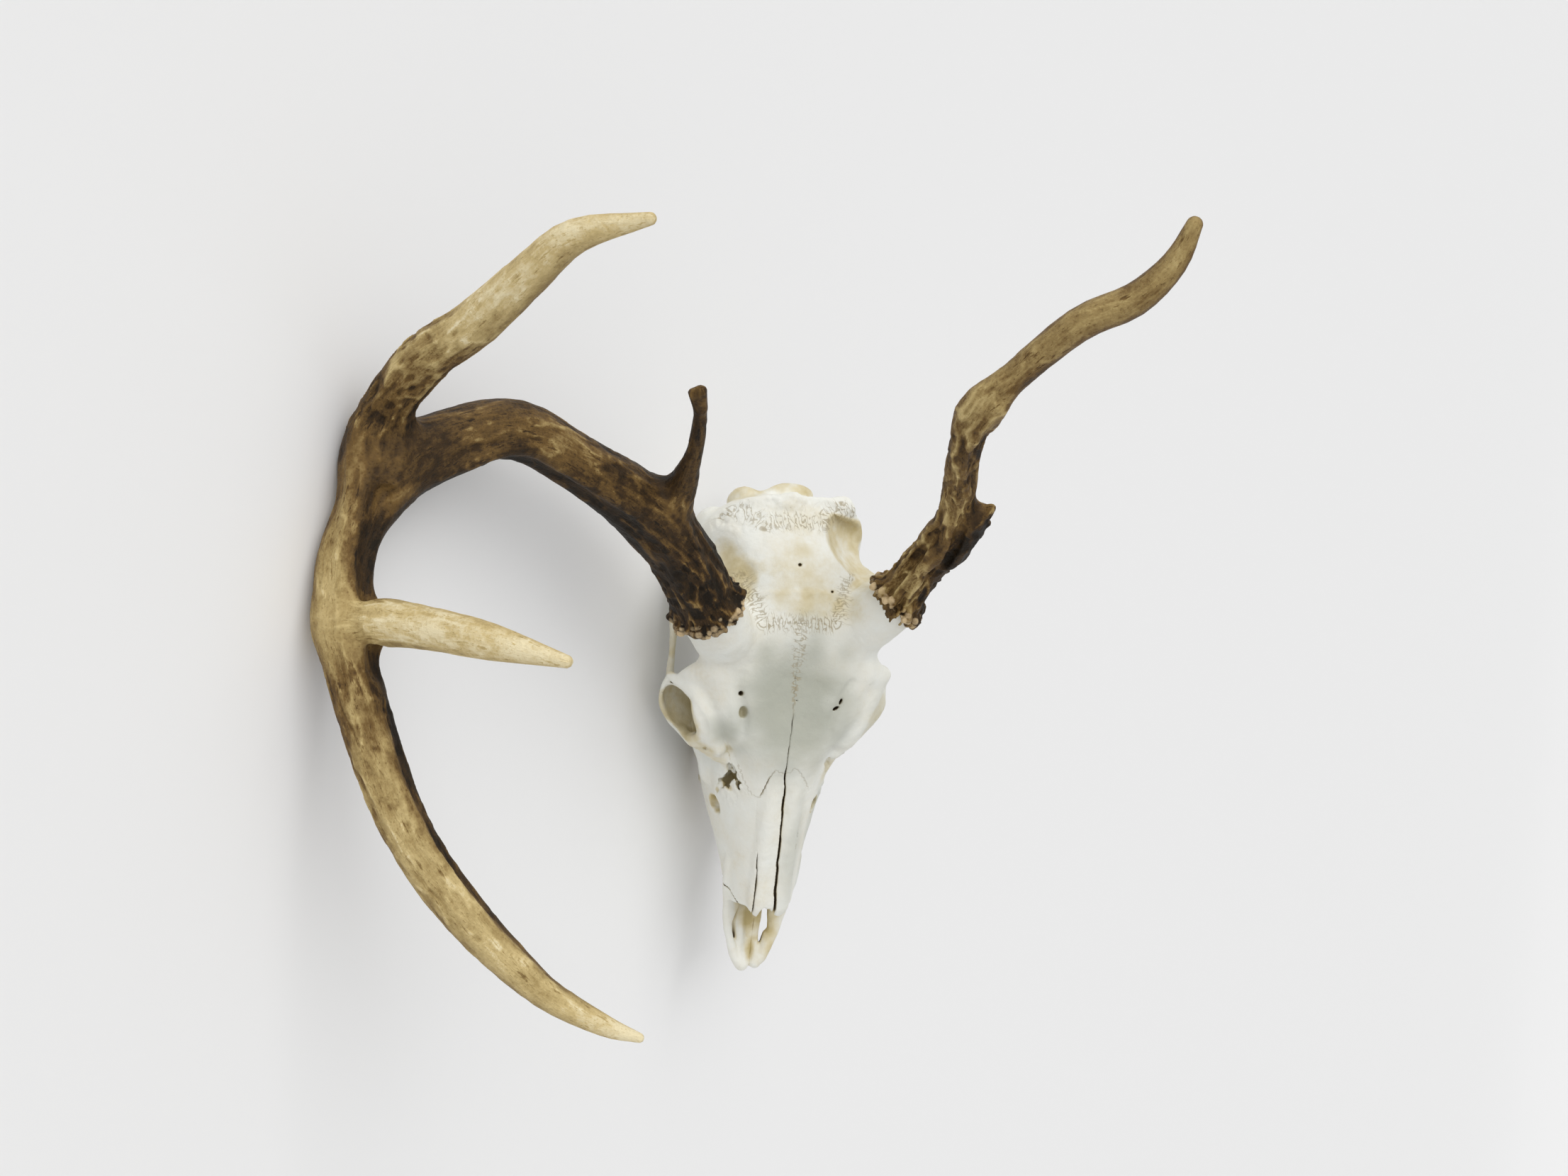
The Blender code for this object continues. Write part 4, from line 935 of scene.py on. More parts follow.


# ---------------------------------------------------------------------------- the antlers
# Looks along each branch: (share of its length, tone from dark 0 to cream 1, ruggedness, how
# much painted light makes it paler on its right as the camera sees it going out, and the angle
# of that change)
BEAM_RIGHT_LOOKS = (
    (0, 0.15, 1, 0, 0), (0.12, 0.13, 1, 0, 0), (0.22, 0.2, 0.85, 0.02, 0),
    (0.32, 0.15, 0.7, 0.05, -10), (0.45, 0.24, 0.6, 0.09, -20), (0.6, 0.32, 0.55, 0.1, -30),
    (0.75, 0.30, 0.55, 0.07, -38), (0.9, 0.22, 0.5, 0.03, -55), (1, 0.28, 0.5, 0.05, -40))
OUTER_LOOKS = (
    (0, 0.34, 0.5, 0.12, 15), (0.12, 0.42, 0.45, 0.19, 2), (0.25, 0.48, 0.5, 0.19, -12),
    (0.32, 0.35, 0.65, 0.12, -30), (0.39, 0.36, 0.7, 0.15, -34), (0.47, 0.46, 0.65, 0.18, -36),
    (0.58, 0.5, 0.6, 0.18, -38), (0.7, 0.56, 0.5, 0.15, -42), (0.85, 0.68, 0.4, 0.1, -50),
    (0.97, 0.9, 0.15, 0, 0), (1, 0.95, 0.1, 0, 0))
REAR_LOOKS = (
    (0, 0.26, 0.75, -0.03, 0), (0.16, 0.38, 0.9, -0.04, 10), (0.36, 0.56, 0.9, -0.08, 25),
    (0.5, 0.76, 0.55, -0.08, 30), (0.75, 0.80, 0.35, -0.1, 35), (1, 0.93, 0.1, 0, 0))
FRONT_LOOKS = (
    (0, 0.62, 0.55, 0, 0), (0.25, 0.80, 0.45, -0.06, 50), (0.6, 0.86, 0.4, -0.06, 50),
    (1, 0.95, 0.1, 0, 0))
BROW_LOOKS = (
    (0, 0.22, 0.6, 0.05, 0), (0.35, 0.24, 0.6, 0.06, 0), (0.8, 0.22, 0.5, 0, 0),
    (1, 0.40, 0.6, 0, 0))
BEAM_LEFT_LOOKS = (
    (0, 0.39, 1, -0.06, 40), (0.15, 0.41, 1.05, -0.14, 36), (0.3, 0.37, 0.95, -0.12, 40),
    (0.45, 0.38, 0.85, -0.06, 40), (0.54, 0.52, 0.8, 0, 0), (0.6, 0.60, 0.55, 0, 0),
    (0.68, 0.50, 0.4, -0.05, 30), (0.8, 0.48, 0.35, -0.07, 30), (1, 0.60, 0.25, 0, 0))
STUB_LOOKS = ((0, 0.16, 0.9, 0, 0), (0.5, 0.1, 0.9, 0, 0), (1, 0.3, 0.7, 0, 0))

# Keels and gutters along a branch: its number, then (share of its length, degrees round it
# from the side the camera sees, positive to the right going out, lift or depth, radius)
KEELS_RIGHT = (
    (1, ((0.02, 20, 1, 5), (0.12, 8, 2.4, 4), (0.25, -8, 2.6, 4),
         (0.36, -20, 1, 4))),
    (1, ((0.42, -30, 0.8, 4), (0.5, -32, 2, 3.6), (0.64, -38, 1.8, 3.4),
         (0.8, -45, 0.6, 3))),
    (0, ((0.4, -15, 0.6, 4), (0.55, -28, 1.8, 3.6), (0.7, -35, 1.8, 3.8),
         (0.9, -60, 1, 4))),
    (0, ((0.02, 30, 0.5, 3), (0.15, 24, 1.4, 2.4), (0.3, 34, 0.8, 2.6))),
    (0, ((0.02, -24, 0.5, 3), (0.14, -30, 1.3, 2.4), (0.26, -20, 0.6, 2.6))),
)
GUTTERS_RIGHT = (
    (0, ((0.30, -42, 0.6, 3), (0.42, -50, 2.2, 4.6), (0.55, -58, 2.8, 5.4),
         (0.68, -64, 1.6, 4.6), (0.78, -70, 0.4, 3))),
    (1, ((0.06, -30, 0.8, 5), (0.18, -48, 2, 6), (0.32, -52, 1.2, 5))),
    (1, ((0.38, -58, 0.2, 3.4), (0.48, -60, 1.2, 4), (0.6, -62, 1.6, 4.6),
         (0.74, -66, 0.9, 4.2), (0.86, -70, 0.1, 3.4))),
)
KEELS_LEFT = (
    (0, ((0, 5, 1, 2.4), (0.08, -8, 2, 2.2), (0.18, -2, 1.8, 2), (0.3, -16, 0.8, 2.4))),
    (0, ((0.03, -50, 0.8, 2), (0.12, -38, 1.6, 1.9), (0.24, -50, 1, 2.2))),
    (0, ((0.06, 26, 0.5, 1.8), (0.16, 16, 1.5, 1.8), (0.3, 12, 1.2, 2), (0.4, 2, 0.6, 2))),
    (0, ((0.36, 34, 0.6, 2.2), (0.45, 14, 1.3, 2), (0.54, 26, 1.8, 2.2), (0.6, 50, 2, 2.4))),
    (0, ((0.47, -55, 0.6, 2.4), (0.565, -60, 2.6, 4.4), (0.63, -35, 0.6, 3))),
    (0, ((0.54, 85, 0.5, 2.4), (0.585, 68, 2.2, 3.4), (0.63, 40, 0.6, 2.6))),
)
GUTTERS_LEFT = (
    (0, ((0, 50, 0.8, 2), (0.1, 38, 1.9, 2.4), (0.24, 36, 2.1, 2.6), (0.36, 36, 0.6, 2.2))),
    (0, ((0.04, -24, 0.8, 1.8), (0.14, -22, 1.7, 1.9), (0.26, -28, 0.9, 1.8))),
    (0, ((0.38, 58, 0.6, 2.4), (0.47, 46, 1.6, 2.4), (0.54, 60, 0.8, 2.2))),
)
STUB_KNOBS = 8                  # how many ragged knobs stand between the two ends of STUB_EDGE
STUB_EDGE = ((63, 63, 132), (71, 98, 190))
PLAIN_KNOB = -2.0               # the chance number of the stub's brown knobs
MELTED_KNOB = -1.5              # knobs with a lower chance number melt in more
# Planes that part the right antler's skin: a place on each and the way ahead there
RIGHT_CUTS = (((-196, 123, 234), (-0.8, -0.5, 0.35)), ((-222, 2, 272), (0.2, -0.96, 0.2)))
CUT_REACH = 30.0                # a cut's edge lies nearer than this to that place, in mm
EYE = -VIEW.T @ numpy.array(CAMERA_PLACE)          # the camera's place in the skull's frame


def perpendicular(vector, ahead):
    """The part of each vector square to the way ahead, at length 1."""
    vector = vector - ahead * numpy.sum(vector * ahead, axis=-1, keepdims=True)
    return vector / numpy.linalg.norm(vector, axis=-1, keepdims=True)


class Branch:
    """A beam or tine: its path in small steps, its radii and the side directions there.

    The looks are rows of the tables above; start sets its grain off from other branches'.
    """

    def __init__(self, stations, looks, start=0.0):
        rows = smooth_rows(stations, 12)
        self.stations = stations
        self.path, self.radii = rows[:, :3], rows[:, 3]
        self.ahead = numpy.gradient(self.path, axis=0)
        self.ahead /= numpy.linalg.norm(self.ahead, axis=1)[:, None]
        self.facing = perpendicular(EYE - self.path, self.ahead)
        self.right = numpy.cross(self.ahead, self.facing)
        side = self.facing[0]
        carried = []
        for direction in self.ahead:
            side = perpendicular(side, direction)
            carried.append(side)
        self.side = numpy.array(carried)
        self.other = numpy.cross(self.ahead, self.side)
        gaps = numpy.linalg.norm(numpy.diff(self.path, axis=0), axis=1)
        self.run = numpy.concatenate(([0.0], numpy.cumsum(gaps)))
        self.looks = looks
        self.start = start

    def locate(self, points, block=20000):
        """For each point: its share along, its place on the unrolled branch, its gap from
        the branch and its angle round it from the camera's side to the right."""
        index = numpy.concatenate([
            numpy.argmin(numpy.sum(self.path ** 2, axis=1) - 2.0 * points[i:i + block] @ self.path.T,
                         axis=1) for i in range(0, len(points), block)])
        offset = points - self.path[index]
        step = numpy.sum(offset * self.ahead[index], axis=1)
        along = numpy.clip(self.run[index] + step, 0.0, self.run[-1])
        a = numpy.sum(offset * self.side[index], axis=1)
        b = numpy.sum(offset * self.other[index], axis=1)
        radius = numpy.interp(along, self.run, self.radii)
        around = numpy.maximum(numpy.hypot(a, b), 1e-6)
        beyond = numpy.abs(self.run[index] + step - along)
        flow = numpy.stack((a * radius / around, b * radius / around, along + self.start), axis=1)
        angle = numpy.arctan2(numpy.sum(offset * self.right[index], axis=1),
                              numpy.sum(offset * self.facing[index], axis=1))
        return along / self.run[-1], flow, numpy.hypot(around, beyond) - radius, angle

    def rail(self, rows, into):
        """Stations for a bar along the surface; into is 1 for a keel and -1 for a gutter."""
        stations = []
        for share, degrees, height, radius in rows:
            way = share * self.run[-1]
            path, facing, right = (
                numpy.array([numpy.interp(way, self.run, column[:, k]) for k in range(3)])
                for column in (self.path, self.facing, self.right))
            turn = math.radians(degrees)
            out = math.cos(turn) * facing + math.sin(turn) * right
            reach = numpy.interp(way, self.run, self.radii) + into * (height - radius)
            stations.append((*(path + reach * out / numpy.linalg.norm(out)), radius))
        return stations


def burr(branch, count, raised, lean, seed):
    """Knobs round the foot of an antler: short bars pointing out and down, in three rings.

    The rings lie square to the way ahead plus the lean, raised that far from the foot; a knob
    starts where the way out from the middle leaves the beam, r / |way - ahead (way . ahead)|.
    """
    knobs = []
    ahead = branch.ahead[0]
    centre = branch.path[0] + raised * ahead
    axis = perpendicular(ahead + numpy.array(lean), numpy.zeros(3))
    side = perpendicular(branch.side[0], axis)
    other = numpy.cross(axis, side)
    for ring, (share, height, out, size) in enumerate(((1.0, 0.0, 2.3, 1.55), (0.95, 2.8, 2.2, 1.5),
                                                       (0.7, 6.5, 0.5, 1.3))):
        number = int(count * share)
        for i in range(number):
            chance = lattice(numpy.array([[i, ring, k] for k in range(5)]), seed)
            angle = 2 * math.pi * (i + 0.5 * ring + 0.3 * chance[0]) / number
            way = math.cos(angle) * side + math.sin(angle) * other
            foot = centre + (height + 0.8 * chance[1]) * axis
            radius = size * (1.0 + 0.32 * chance[2])
            reach = branch.radii[0] / numpy.linalg.norm(way - ahead * (way @ ahead))
            near = foot + (reach - 1.5) * way + 1.2 * axis
            far = foot + (reach + out + 1.1 * chance[3]) * way - 1.6 * axis
            knobs.append(((*near, radius * 0.9), (*far, radius), chance[4] - 0.7 * ring))
    return knobs


def antler_field(branches, blends, rails, knobs, step):
    """An antler's field: beams and tines melted at their forks, with keels, gutters and knobs."""
    stations = numpy.vstack([numpy.array(branch.stations) for branch in branches])
    low = (stations[:, :3] - stations[:, 3:]).min(axis=0) - MARGIN
    high = (stations[:, :3] + stations[:, 3:]).max(axis=0) + MARGIN
    field = Field(low, high, step)
    for branch, blend in zip(branches, blends):
        field.join(bar(branch.stations, margin=20.0), blend)
    x, y, z = (axis - place for axis, place in zip(field.axes, branches[0].path[0]))
    ahead = branches[0].ahead[0]
    below = -1.5 - ahead[0] * x[:, None, None] - ahead[1] * y[None, :, None] - ahead[2] * z
    field.values = numpy.maximum(field.values, below.astype(numpy.float32))
    keels, gutters = rails
    for number, rows in keels:
        field.join(bar(branches[number].rail(rows, 1)), 4.0)
    for number, rows in gutters:
        field.hollow(bar(branches[number].rail(rows, -1)), 3.0)
    for near, far, chance in knobs:
        field.join(bar((near, far), 1, 5.0), 1.2 if chance > MELTED_KNOB else 3.0)
    return field


def grain(flow, seed):
    """Relief on the unrolled branch, each about -1 to 1: long ridges with sharp crests, a
    finer net of them, swellings, and pits where stretched noise is high."""
    bend = numpy.stack([noise(flow / (8.0, 8.0, 12.0), seed + k) for k in (5, 6, 7)], axis=1)
    flow = flow + 1.6 * bend
    ridge = 1.0 - 2.8 * numpy.abs(noise(flow / (4.6, 4.6, 24.0), seed))
    net = 1.0 - 2.8 * numpy.abs(noise(flow / (2.5, 2.5, 7.5), seed + 1))
    swell = noise(flow / (11.0, 11.0, 22.0), seed + 2)
    pits = rise(0.05, 0.4, noise(flow / (1.9, 1.9, 4.6), seed + 3) + 0.35 * swell)
    return ridge, net, swell, pits


def antler_notes(points, normals, field, branches, knobs, seed):
    """The antler's relief in mm at each vertex, and what its colours need."""
    found = [branch.locate(points) for branch in branches]
    gaps = numpy.stack([each[2] for each in found])
    shares = numpy.exp(-(gaps - gaps.min(axis=0)) / 2.2)
    shares /= shares.sum(axis=0)
    tone, relief, crest = numpy.zeros((3, len(points)))
    flows = numpy.zeros((len(points), 3))
    for number, (branch, (along, flow, _, angle), share) in enumerate(zip(branches, found, shares)):
        flows[share > 0.5] = flow[share > 0.5]
        near = share > 0.004
        along, flow, angle, share = along[near], flow[near], angle[near], share[near]
        plain, rugged, side, turn = (steps(branch.looks, along, k) for k in (1, 2, 3, 4))
        ridge, net, swell, pits = grain(flow, seed + 10 * number)
        sharp = numpy.clip(0.6 * ridge + 0.4 * net, -1.0, 1.0)
        relief[near] += share * rugged ** 2 * (0.7 * sharp + 0.3 * swell - 0.4 * pits)
        crest[near] += share * rugged
        shade = 0.30 * rise(0.35, 0.9, sharp) - 0.12 * rise(0.1, -0.7, sharp) - 0.16 * pits
        blotch = 0.08 * noise(flow / (9.0, 9.0, 20.0), seed + 10 * number + 8)
        # Painted light and shade: one side of the branch, as the camera sees it, paler and the other darker,
        # and the flanks that turn away from the camera darker
        painted_light_side = numpy.clip(3.0 * numpy.sin(angle - numpy.radians(turn)), -1.0, 1.0)
        flank = rise(0.72, 1.0, numpy.abs(numpy.sin(angle)))
        tone[near] += share * (plain + rugged * shade + blotch + side * painted_light_side - 0.12 * flank)
    pearl = numpy.zeros(len(points))
    for _, far, chance in knobs:
        reach = numpy.linalg.norm(points - far[:3], axis=1) / far[3]
        pearl = numpy.maximum(pearl, rise(1.6, 0.8, reach) * numpy.clip(0.8 + 0.5 * chance, 0.0, 1.0))
    return relief, {"tone": tone, "rugged": crest, "pearl": pearl, "flow": flows,
                    "hollow": closed_in(points, normals, field),
                    "sure": rise(0.6, 0.95, shares.max(axis=0))}


def part_at(points, faces, cuts):
    """Parts a skin between planes into pieces that share their cut edges, each closed by a
    fan from the middle of its cut edge."""
    middle = points[faces].mean(axis=1)
    label = numpy.zeros(len(faces), dtype=int)
    for place, ahead in cuts:
        label += (middle - numpy.array(place)) @ numpy.array(ahead) > 0
    for number in range(len(cuts) + 1):
        own = faces[label == number]
        edges = numpy.vstack([own[:, (i, (i + 1) % 4)] for i in range(4)]).astype(numpy.int64)
        key = edges[:, 0] * len(points) + edges[:, 1]
        back = edges[:, 1] * len(points) + edges[:, 0]
        rim = edges[~numpy.isin(key, back)]
        every = points
        fans = []
        for place, _ in cuts:
            here = rim[numpy.linalg.norm(points[rim[:, 0]] - numpy.array(place), axis=1) < CUT_REACH]
            if len(here):
                fans.append(numpy.column_stack((here[:, ::-1], numpy.full(len(here), len(every)))))
                every = numpy.vstack((every, points[here[:, 0]].mean(axis=0)))
        fans = numpy.vstack(fans) if fans else numpy.zeros((0, 3), dtype=int)
        used = numpy.unique(numpy.concatenate((own.ravel(), fans.ravel())))
        index = numpy.full(len(every), -1)
        index[used] = numpy.arange(len(used))
        yield every[used], index[own], index[fans], numpy.minimum(used, len(points) - 1)


def make_antler(parts, branches, blends, rails, knobs, cuts, seed, settings, material):
    """One antler: its skin, the relief of ridges and beads, parted into named pieces."""
    step = settings.antler_grain * METRE * COARSER
    field = antler_field(branches, blends, rails, knobs, step)
    points, faces = skin(field.values, field.low, step)
    normals = outward(points, faces)
    relief, notes = antler_notes(points, normals, field, branches, knobs, seed)
    points = points + (settings.groove_depth * METRE * relief)[:, None] * normals
    notes["normal"] = outward(points, faces)
    for (name, nodes), (spots, quads, fans, used) in zip(parts, part_at(points, faces, cuts)):
        kept = {label: numbers[used] for label, numbers in notes.items()}
        piece = put_in(name, spots, quads, kept, material, fans)
        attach(piece, "root")
        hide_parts(*nodes)


def make_right_antler(settings, material):
    """Beam with its brow tine, the fork with rear and front tines, and the beam's tip."""
    beam = Branch(BEAM_RIGHT, BEAM_RIGHT_LOOKS)
    outer = Branch(BEAM_RIGHT_OUTER, OUTER_LOOKS, beam.run[-1])
    rear = Branch(TINE_REAR, REAR_LOOKS, beam.run[-1] + 400.0)
    front = Branch(TINE_FRONT, FRONT_LOOKS, beam.run[-1] + 700.0)
    brow = Branch(TINE_BROW, BROW_LOOKS, 900.0)
    split = Branch(BROW_SPLIT, BROW_LOOKS, 1000.0)
    parts = (
        ("antler_right_lower", ("antler_right_base", "antler_right_beam", "antler_right_brow_tine")),
        ("antler_right_fork", ("antler_right_outer_beam", "antler_right_rear_tine",
                               "antler_right_front_tine")),
        ("antler_right_end", ("antler_right_beam_tip",)),
    )
    knobs = burr(beam, 40, 1.2, (0.0, 0.0, 0.0), 105)
    make_antler(parts, (beam, outer, rear, front, brow, split), (1.0, 14.0, 16.0, 10.0, 10.0, 1.5),
                (KEELS_RIGHT, GUTTERS_RIGHT), knobs, RIGHT_CUTS, 100, settings, material)


def make_left_antler(settings, material):
    """Beam with the broken stub of its brow tine, ragged with knobs below."""
    beam = Branch(BEAM_LEFT, BEAM_LEFT_LOOKS)
    stub = Branch(BROW_STUB, STUB_LOOKS, 500.0)
    parts = (("antler_left_whole", ("antler_left_base", "antler_left_brow_stub",
                                    "antler_left_beam", "antler_left_tip")),)
    knobs = burr(beam, 32, 1.5, (0.75, 0.35, -0.3), 205)
    for i in range(STUB_KNOBS):
        chance = lattice(numpy.array([[i, 9, k] for k in range(5)]), 206)
        share = (i + 0.5 + 0.4 * chance[0]) / STUB_KNOBS
        foot = (1 - share) * numpy.array(STUB_EDGE[0]) + share * numpy.array(STUB_EDGE[1])
        radius = 1.9 + 0.6 * chance[1]
        near, far = foot - (5.0, 0.0, 0.0), foot + (0.6 * chance[2], 0.0, 0.0)
        knobs.append(((*near, radius), (*far, radius), PLAIN_KNOB))
    make_antler(parts, (beam, stub), (1.0, 9.0), (KEELS_LEFT, GUTTERS_LEFT), knobs, (), 200, settings,
                material)


# -------------------------------------------------------------------------------- finishes
class Sheet:
    """Places nodes in one node tree, with their links and settings."""

    def __init__(self, tree):
        self.tree = tree

    def add(self, kind, inputs=None, **settings):
        """A node with its settings; an input is a socket to link from, or a value."""
        node = self.tree.nodes.new(kind)
        for key, value in settings.items():
            setattr(node, key, value)
        for key, value in (inputs or {}).items():
            if isinstance(value, bpy.types.NodeSocket):
                self.tree.links.new(value, node.inputs[key])
            else:
                node.inputs[key].default_value = value
        return node

    def number(self, name):
        """A number kept on the vertices."""
        return self.add("ShaderNodeAttribute", attribute_name=name).outputs["Fac"]

    def vector(self, name):
        """A vector kept on the vertices."""
        return self.add("ShaderNodeAttribute", attribute_name=name).outputs["Vector"]

    def use(self, tree, inputs):
        """The outputs of a node group, with its sockets set."""
        return self.add("ShaderNodeGroup", inputs, node_tree=tree).outputs

    def cloud(self, place, scale, detail, roughness=0.5):
        """Noise of a pitch, in so many ever finer layers."""
        inputs = {"Vector": place, "Scale": scale, "Detail": detail, "Roughness": roughness}
        return self.add("ShaderNodeTexNoise", inputs).outputs["Fac"]

    def maths(self, operation, *values):
        """One operation, by its name, on numbers or sockets."""
        return self.add("ShaderNodeMath", dict(enumerate(values)), operation=operation).outputs[0]

    def times(self, a, b):
        """One number or socket times another."""
        return self.maths("MULTIPLY", a, b)

    def sum(self, first, *pairs):
        """The first plus each following number times the share behind it."""
        for value, share in pairs:
            first = self.maths("MULTIPLY_ADD", value, share, first)
        return first

    def between(self, value, low, high, out_low=0.0, out_high=1.0):
        """The value carried from one range to another, held at its ends."""
        inputs = {"Value": value, "From Min": low, "From Max": high,
                  "To Min": out_low, "To Max": out_high}
        return self.add("ShaderNodeMapRange", inputs).outputs["Result"]

    def mix(self, share, a, b):
        """Colour a with that share of colour b, each a socket or one of the settings."""
        a, b = (each if isinstance(each, bpy.types.NodeSocket) else colour(each) for each in (a, b))
        return self.add("ShaderNodeMix", {0: share, 6: a, 7: b}, data_type="RGBA").outputs[2]

    def dress(self, shader, body, rough, height, strength, distance, shine):
        """Gives the shader its colour, its roughness and a bump of that height."""
        bump = self.add("ShaderNodeBump", {"Height": height, "Strength": strength, "Distance": distance})
        for label, socket in (("Base Color", body), ("Roughness", rough), ("Normal", bump.outputs["Normal"])):
            self.tree.links.new(socket, shader.inputs[label])
        shader.inputs["Specular IOR Level"].default_value = shine


def group(name, inputs, outputs, fill):
    """A node group built once, with named number and vector sockets."""
    if name in bpy.data.node_groups:
        return bpy.data.node_groups[name]
    tree = bpy.data.node_groups.new(name, "ShaderNodeTree")
    for label, kind, value in inputs:
        socket = tree.interface.new_socket(label, in_out="INPUT", socket_type=kind)
        if value is not None:
            socket.default_value = value
    for label in outputs:
        tree.interface.new_socket(label, in_out="OUTPUT", socket_type="NodeSocketFloat")
    sheet = Sheet(tree)
    start = sheet.add("NodeGroupInput").outputs
    end = sheet.add("NodeGroupOutput")
    for label, socket in zip(outputs, fill(sheet, start)):
        tree.links.new(socket, end.inputs[label])
    return tree


def streaks_group():
    """Noise drawn out along the third axis of its place, the same much finer, and flecks
    where either is high."""
    def fill(sheet, start):
        stretched = sheet.add("ShaderNodeVectorMath", {0: start["Place"], 1: start["Scale"]},
                              operation="MULTIPLY").outputs[0]
        coarse = sheet.cloud(stretched, 1.0, 4.0, 0.65)
        fine = sheet.cloud(stretched, 2.9, 3.0, 0.7)
        flecks = sheet.maths("MAXIMUM", sheet.between(coarse, 0.60, 0.66), sheet.between(fine, 0.63, 0.68))
        spread = [sheet.between(socket, 0.3, 0.7, -1.0, 1.0) for socket in (coarse, fine)]
        return tuple(sheet.times(socket, start["Mask"]) for socket in spread + [flecks])

    inputs = (("Place", "NodeSocketVector", None), ("Scale", "NodeSocketVector", (0.4, 0.4, 0.06)),
              ("Mask", "NodeSocketFloat", 1.0))
    return group("Streaks", inputs, ("Coarse", "Fine", "Flecks"), fill)


def mottling_group():
    """Soft patches, and small round pits scattered in them."""
    def fill(sheet, start):
        patches = sheet.cloud(start["Place"], start["Scale"], 5.0, 0.6)
        finer = sheet.times(start["Scale"], start["Pit Ratio"])
        cells = sheet.add("ShaderNodeTexVoronoi", {"Vector": start["Place"], "Scale": finer,
                                                   "Randomness": 1.0}).outputs["Distance"]
        return sheet.between(patches, 0.3, 0.7, -1.0, 1.0), sheet.between(cells, 0.12, 0.32, 1.0, 0.0)

    inputs = (("Place", "NodeSocketVector", None), ("Scale", "NodeSocketFloat", 60.0),
              ("Pit Ratio", "NodeSocketFloat", 8.0))
    return group("Mottling", inputs, ("Patches", "Pits"), fill)


def suture_group():
    """A meandering seam line.  Place holds, in mm, the way along the seam, the way off it and
    how far its fingers reach; the line runs where off + reach * clip(1.7 sin turn) is zero."""
    def fill(sheet, start):
        maths = sheet.maths
        parts = sheet.add("ShaderNodeSeparateXYZ", {0: start["Place"]}).outputs
        along, off, reach = parts[0], parts[1], parts[2]
        spots = sheet.add("ShaderNodeCombineXYZ", {0: along, 1: maths("MULTIPLY", off, 0.5)}).outputs[0]
        wander = sheet.cloud(spots, 0.3, 2.0)
        uneven = sheet.cloud(spots, 0.55, 1.0)
        pace = maths("DIVIDE", 2 * math.pi, start["Pitch"])
        turn = maths("MULTIPLY_ADD", along, pace, sheet.between(wander, 0.25, 0.75, -3.2, 3.2))
        turn = maths("MULTIPLY_ADD", off, 0.3, turn)
        sine = maths("SINE", turn)
        height = maths("MULTIPLY", reach, sheet.between(uneven, 0.3, 0.7, 0.45, 1.1))
        wave = maths("MULTIPLY_ADD", height, sheet.between(sine, -0.59, 0.59, -1.0, 1.0), off)
        slope = maths("MULTIPLY", maths("MULTIPLY", height, pace), maths("COSINE", turn))
        flank = sheet.between(maths("ABSOLUTE", sine), 0.56, 0.62, 1.7, 0.0)
        slope = maths("MULTIPLY", slope, flank)
        steepness = maths("SQRT", maths("MULTIPLY_ADD", slope, slope, 1.0))
        gap = maths("DIVIDE", maths("ABSOLUTE", wave), steepness)
        line = sheet.between(gap, 0.06, start["Width"], 1.0, 0.0)
        return (maths("MULTIPLY", line, sheet.between(reach, 0.02, 0.8)),)

    inputs = (("Place", "NodeSocketVector", None), ("Pitch", "NodeSocketFloat", 2.8),
              ("Width", "NodeSocketFloat", 0.4))
    return group("Suture", inputs, ("Line",), fill)


def new_material(name):
    """A material with its node sheet and its shader."""
    material = bpy.data.materials.new(name)
    material.use_nodes = True
    shader = material.node_tree.nodes["Principled BSDF"]
    return material, Sheet(material.node_tree), shader


def colour(value):
    """Red, green and blue made opaque."""
    return (value[0], value[1], value[2], 1.0)


# Seams as they are drawn: the notes they read, pitch of the fingers and width of the line, mm
SEAM_LINES = (("coronal", 3.6, 0.78), ("lambdoid", 4.6, 0.75), ("midline", 4.4, 0.7), ("crack", 3.4, 0.36))


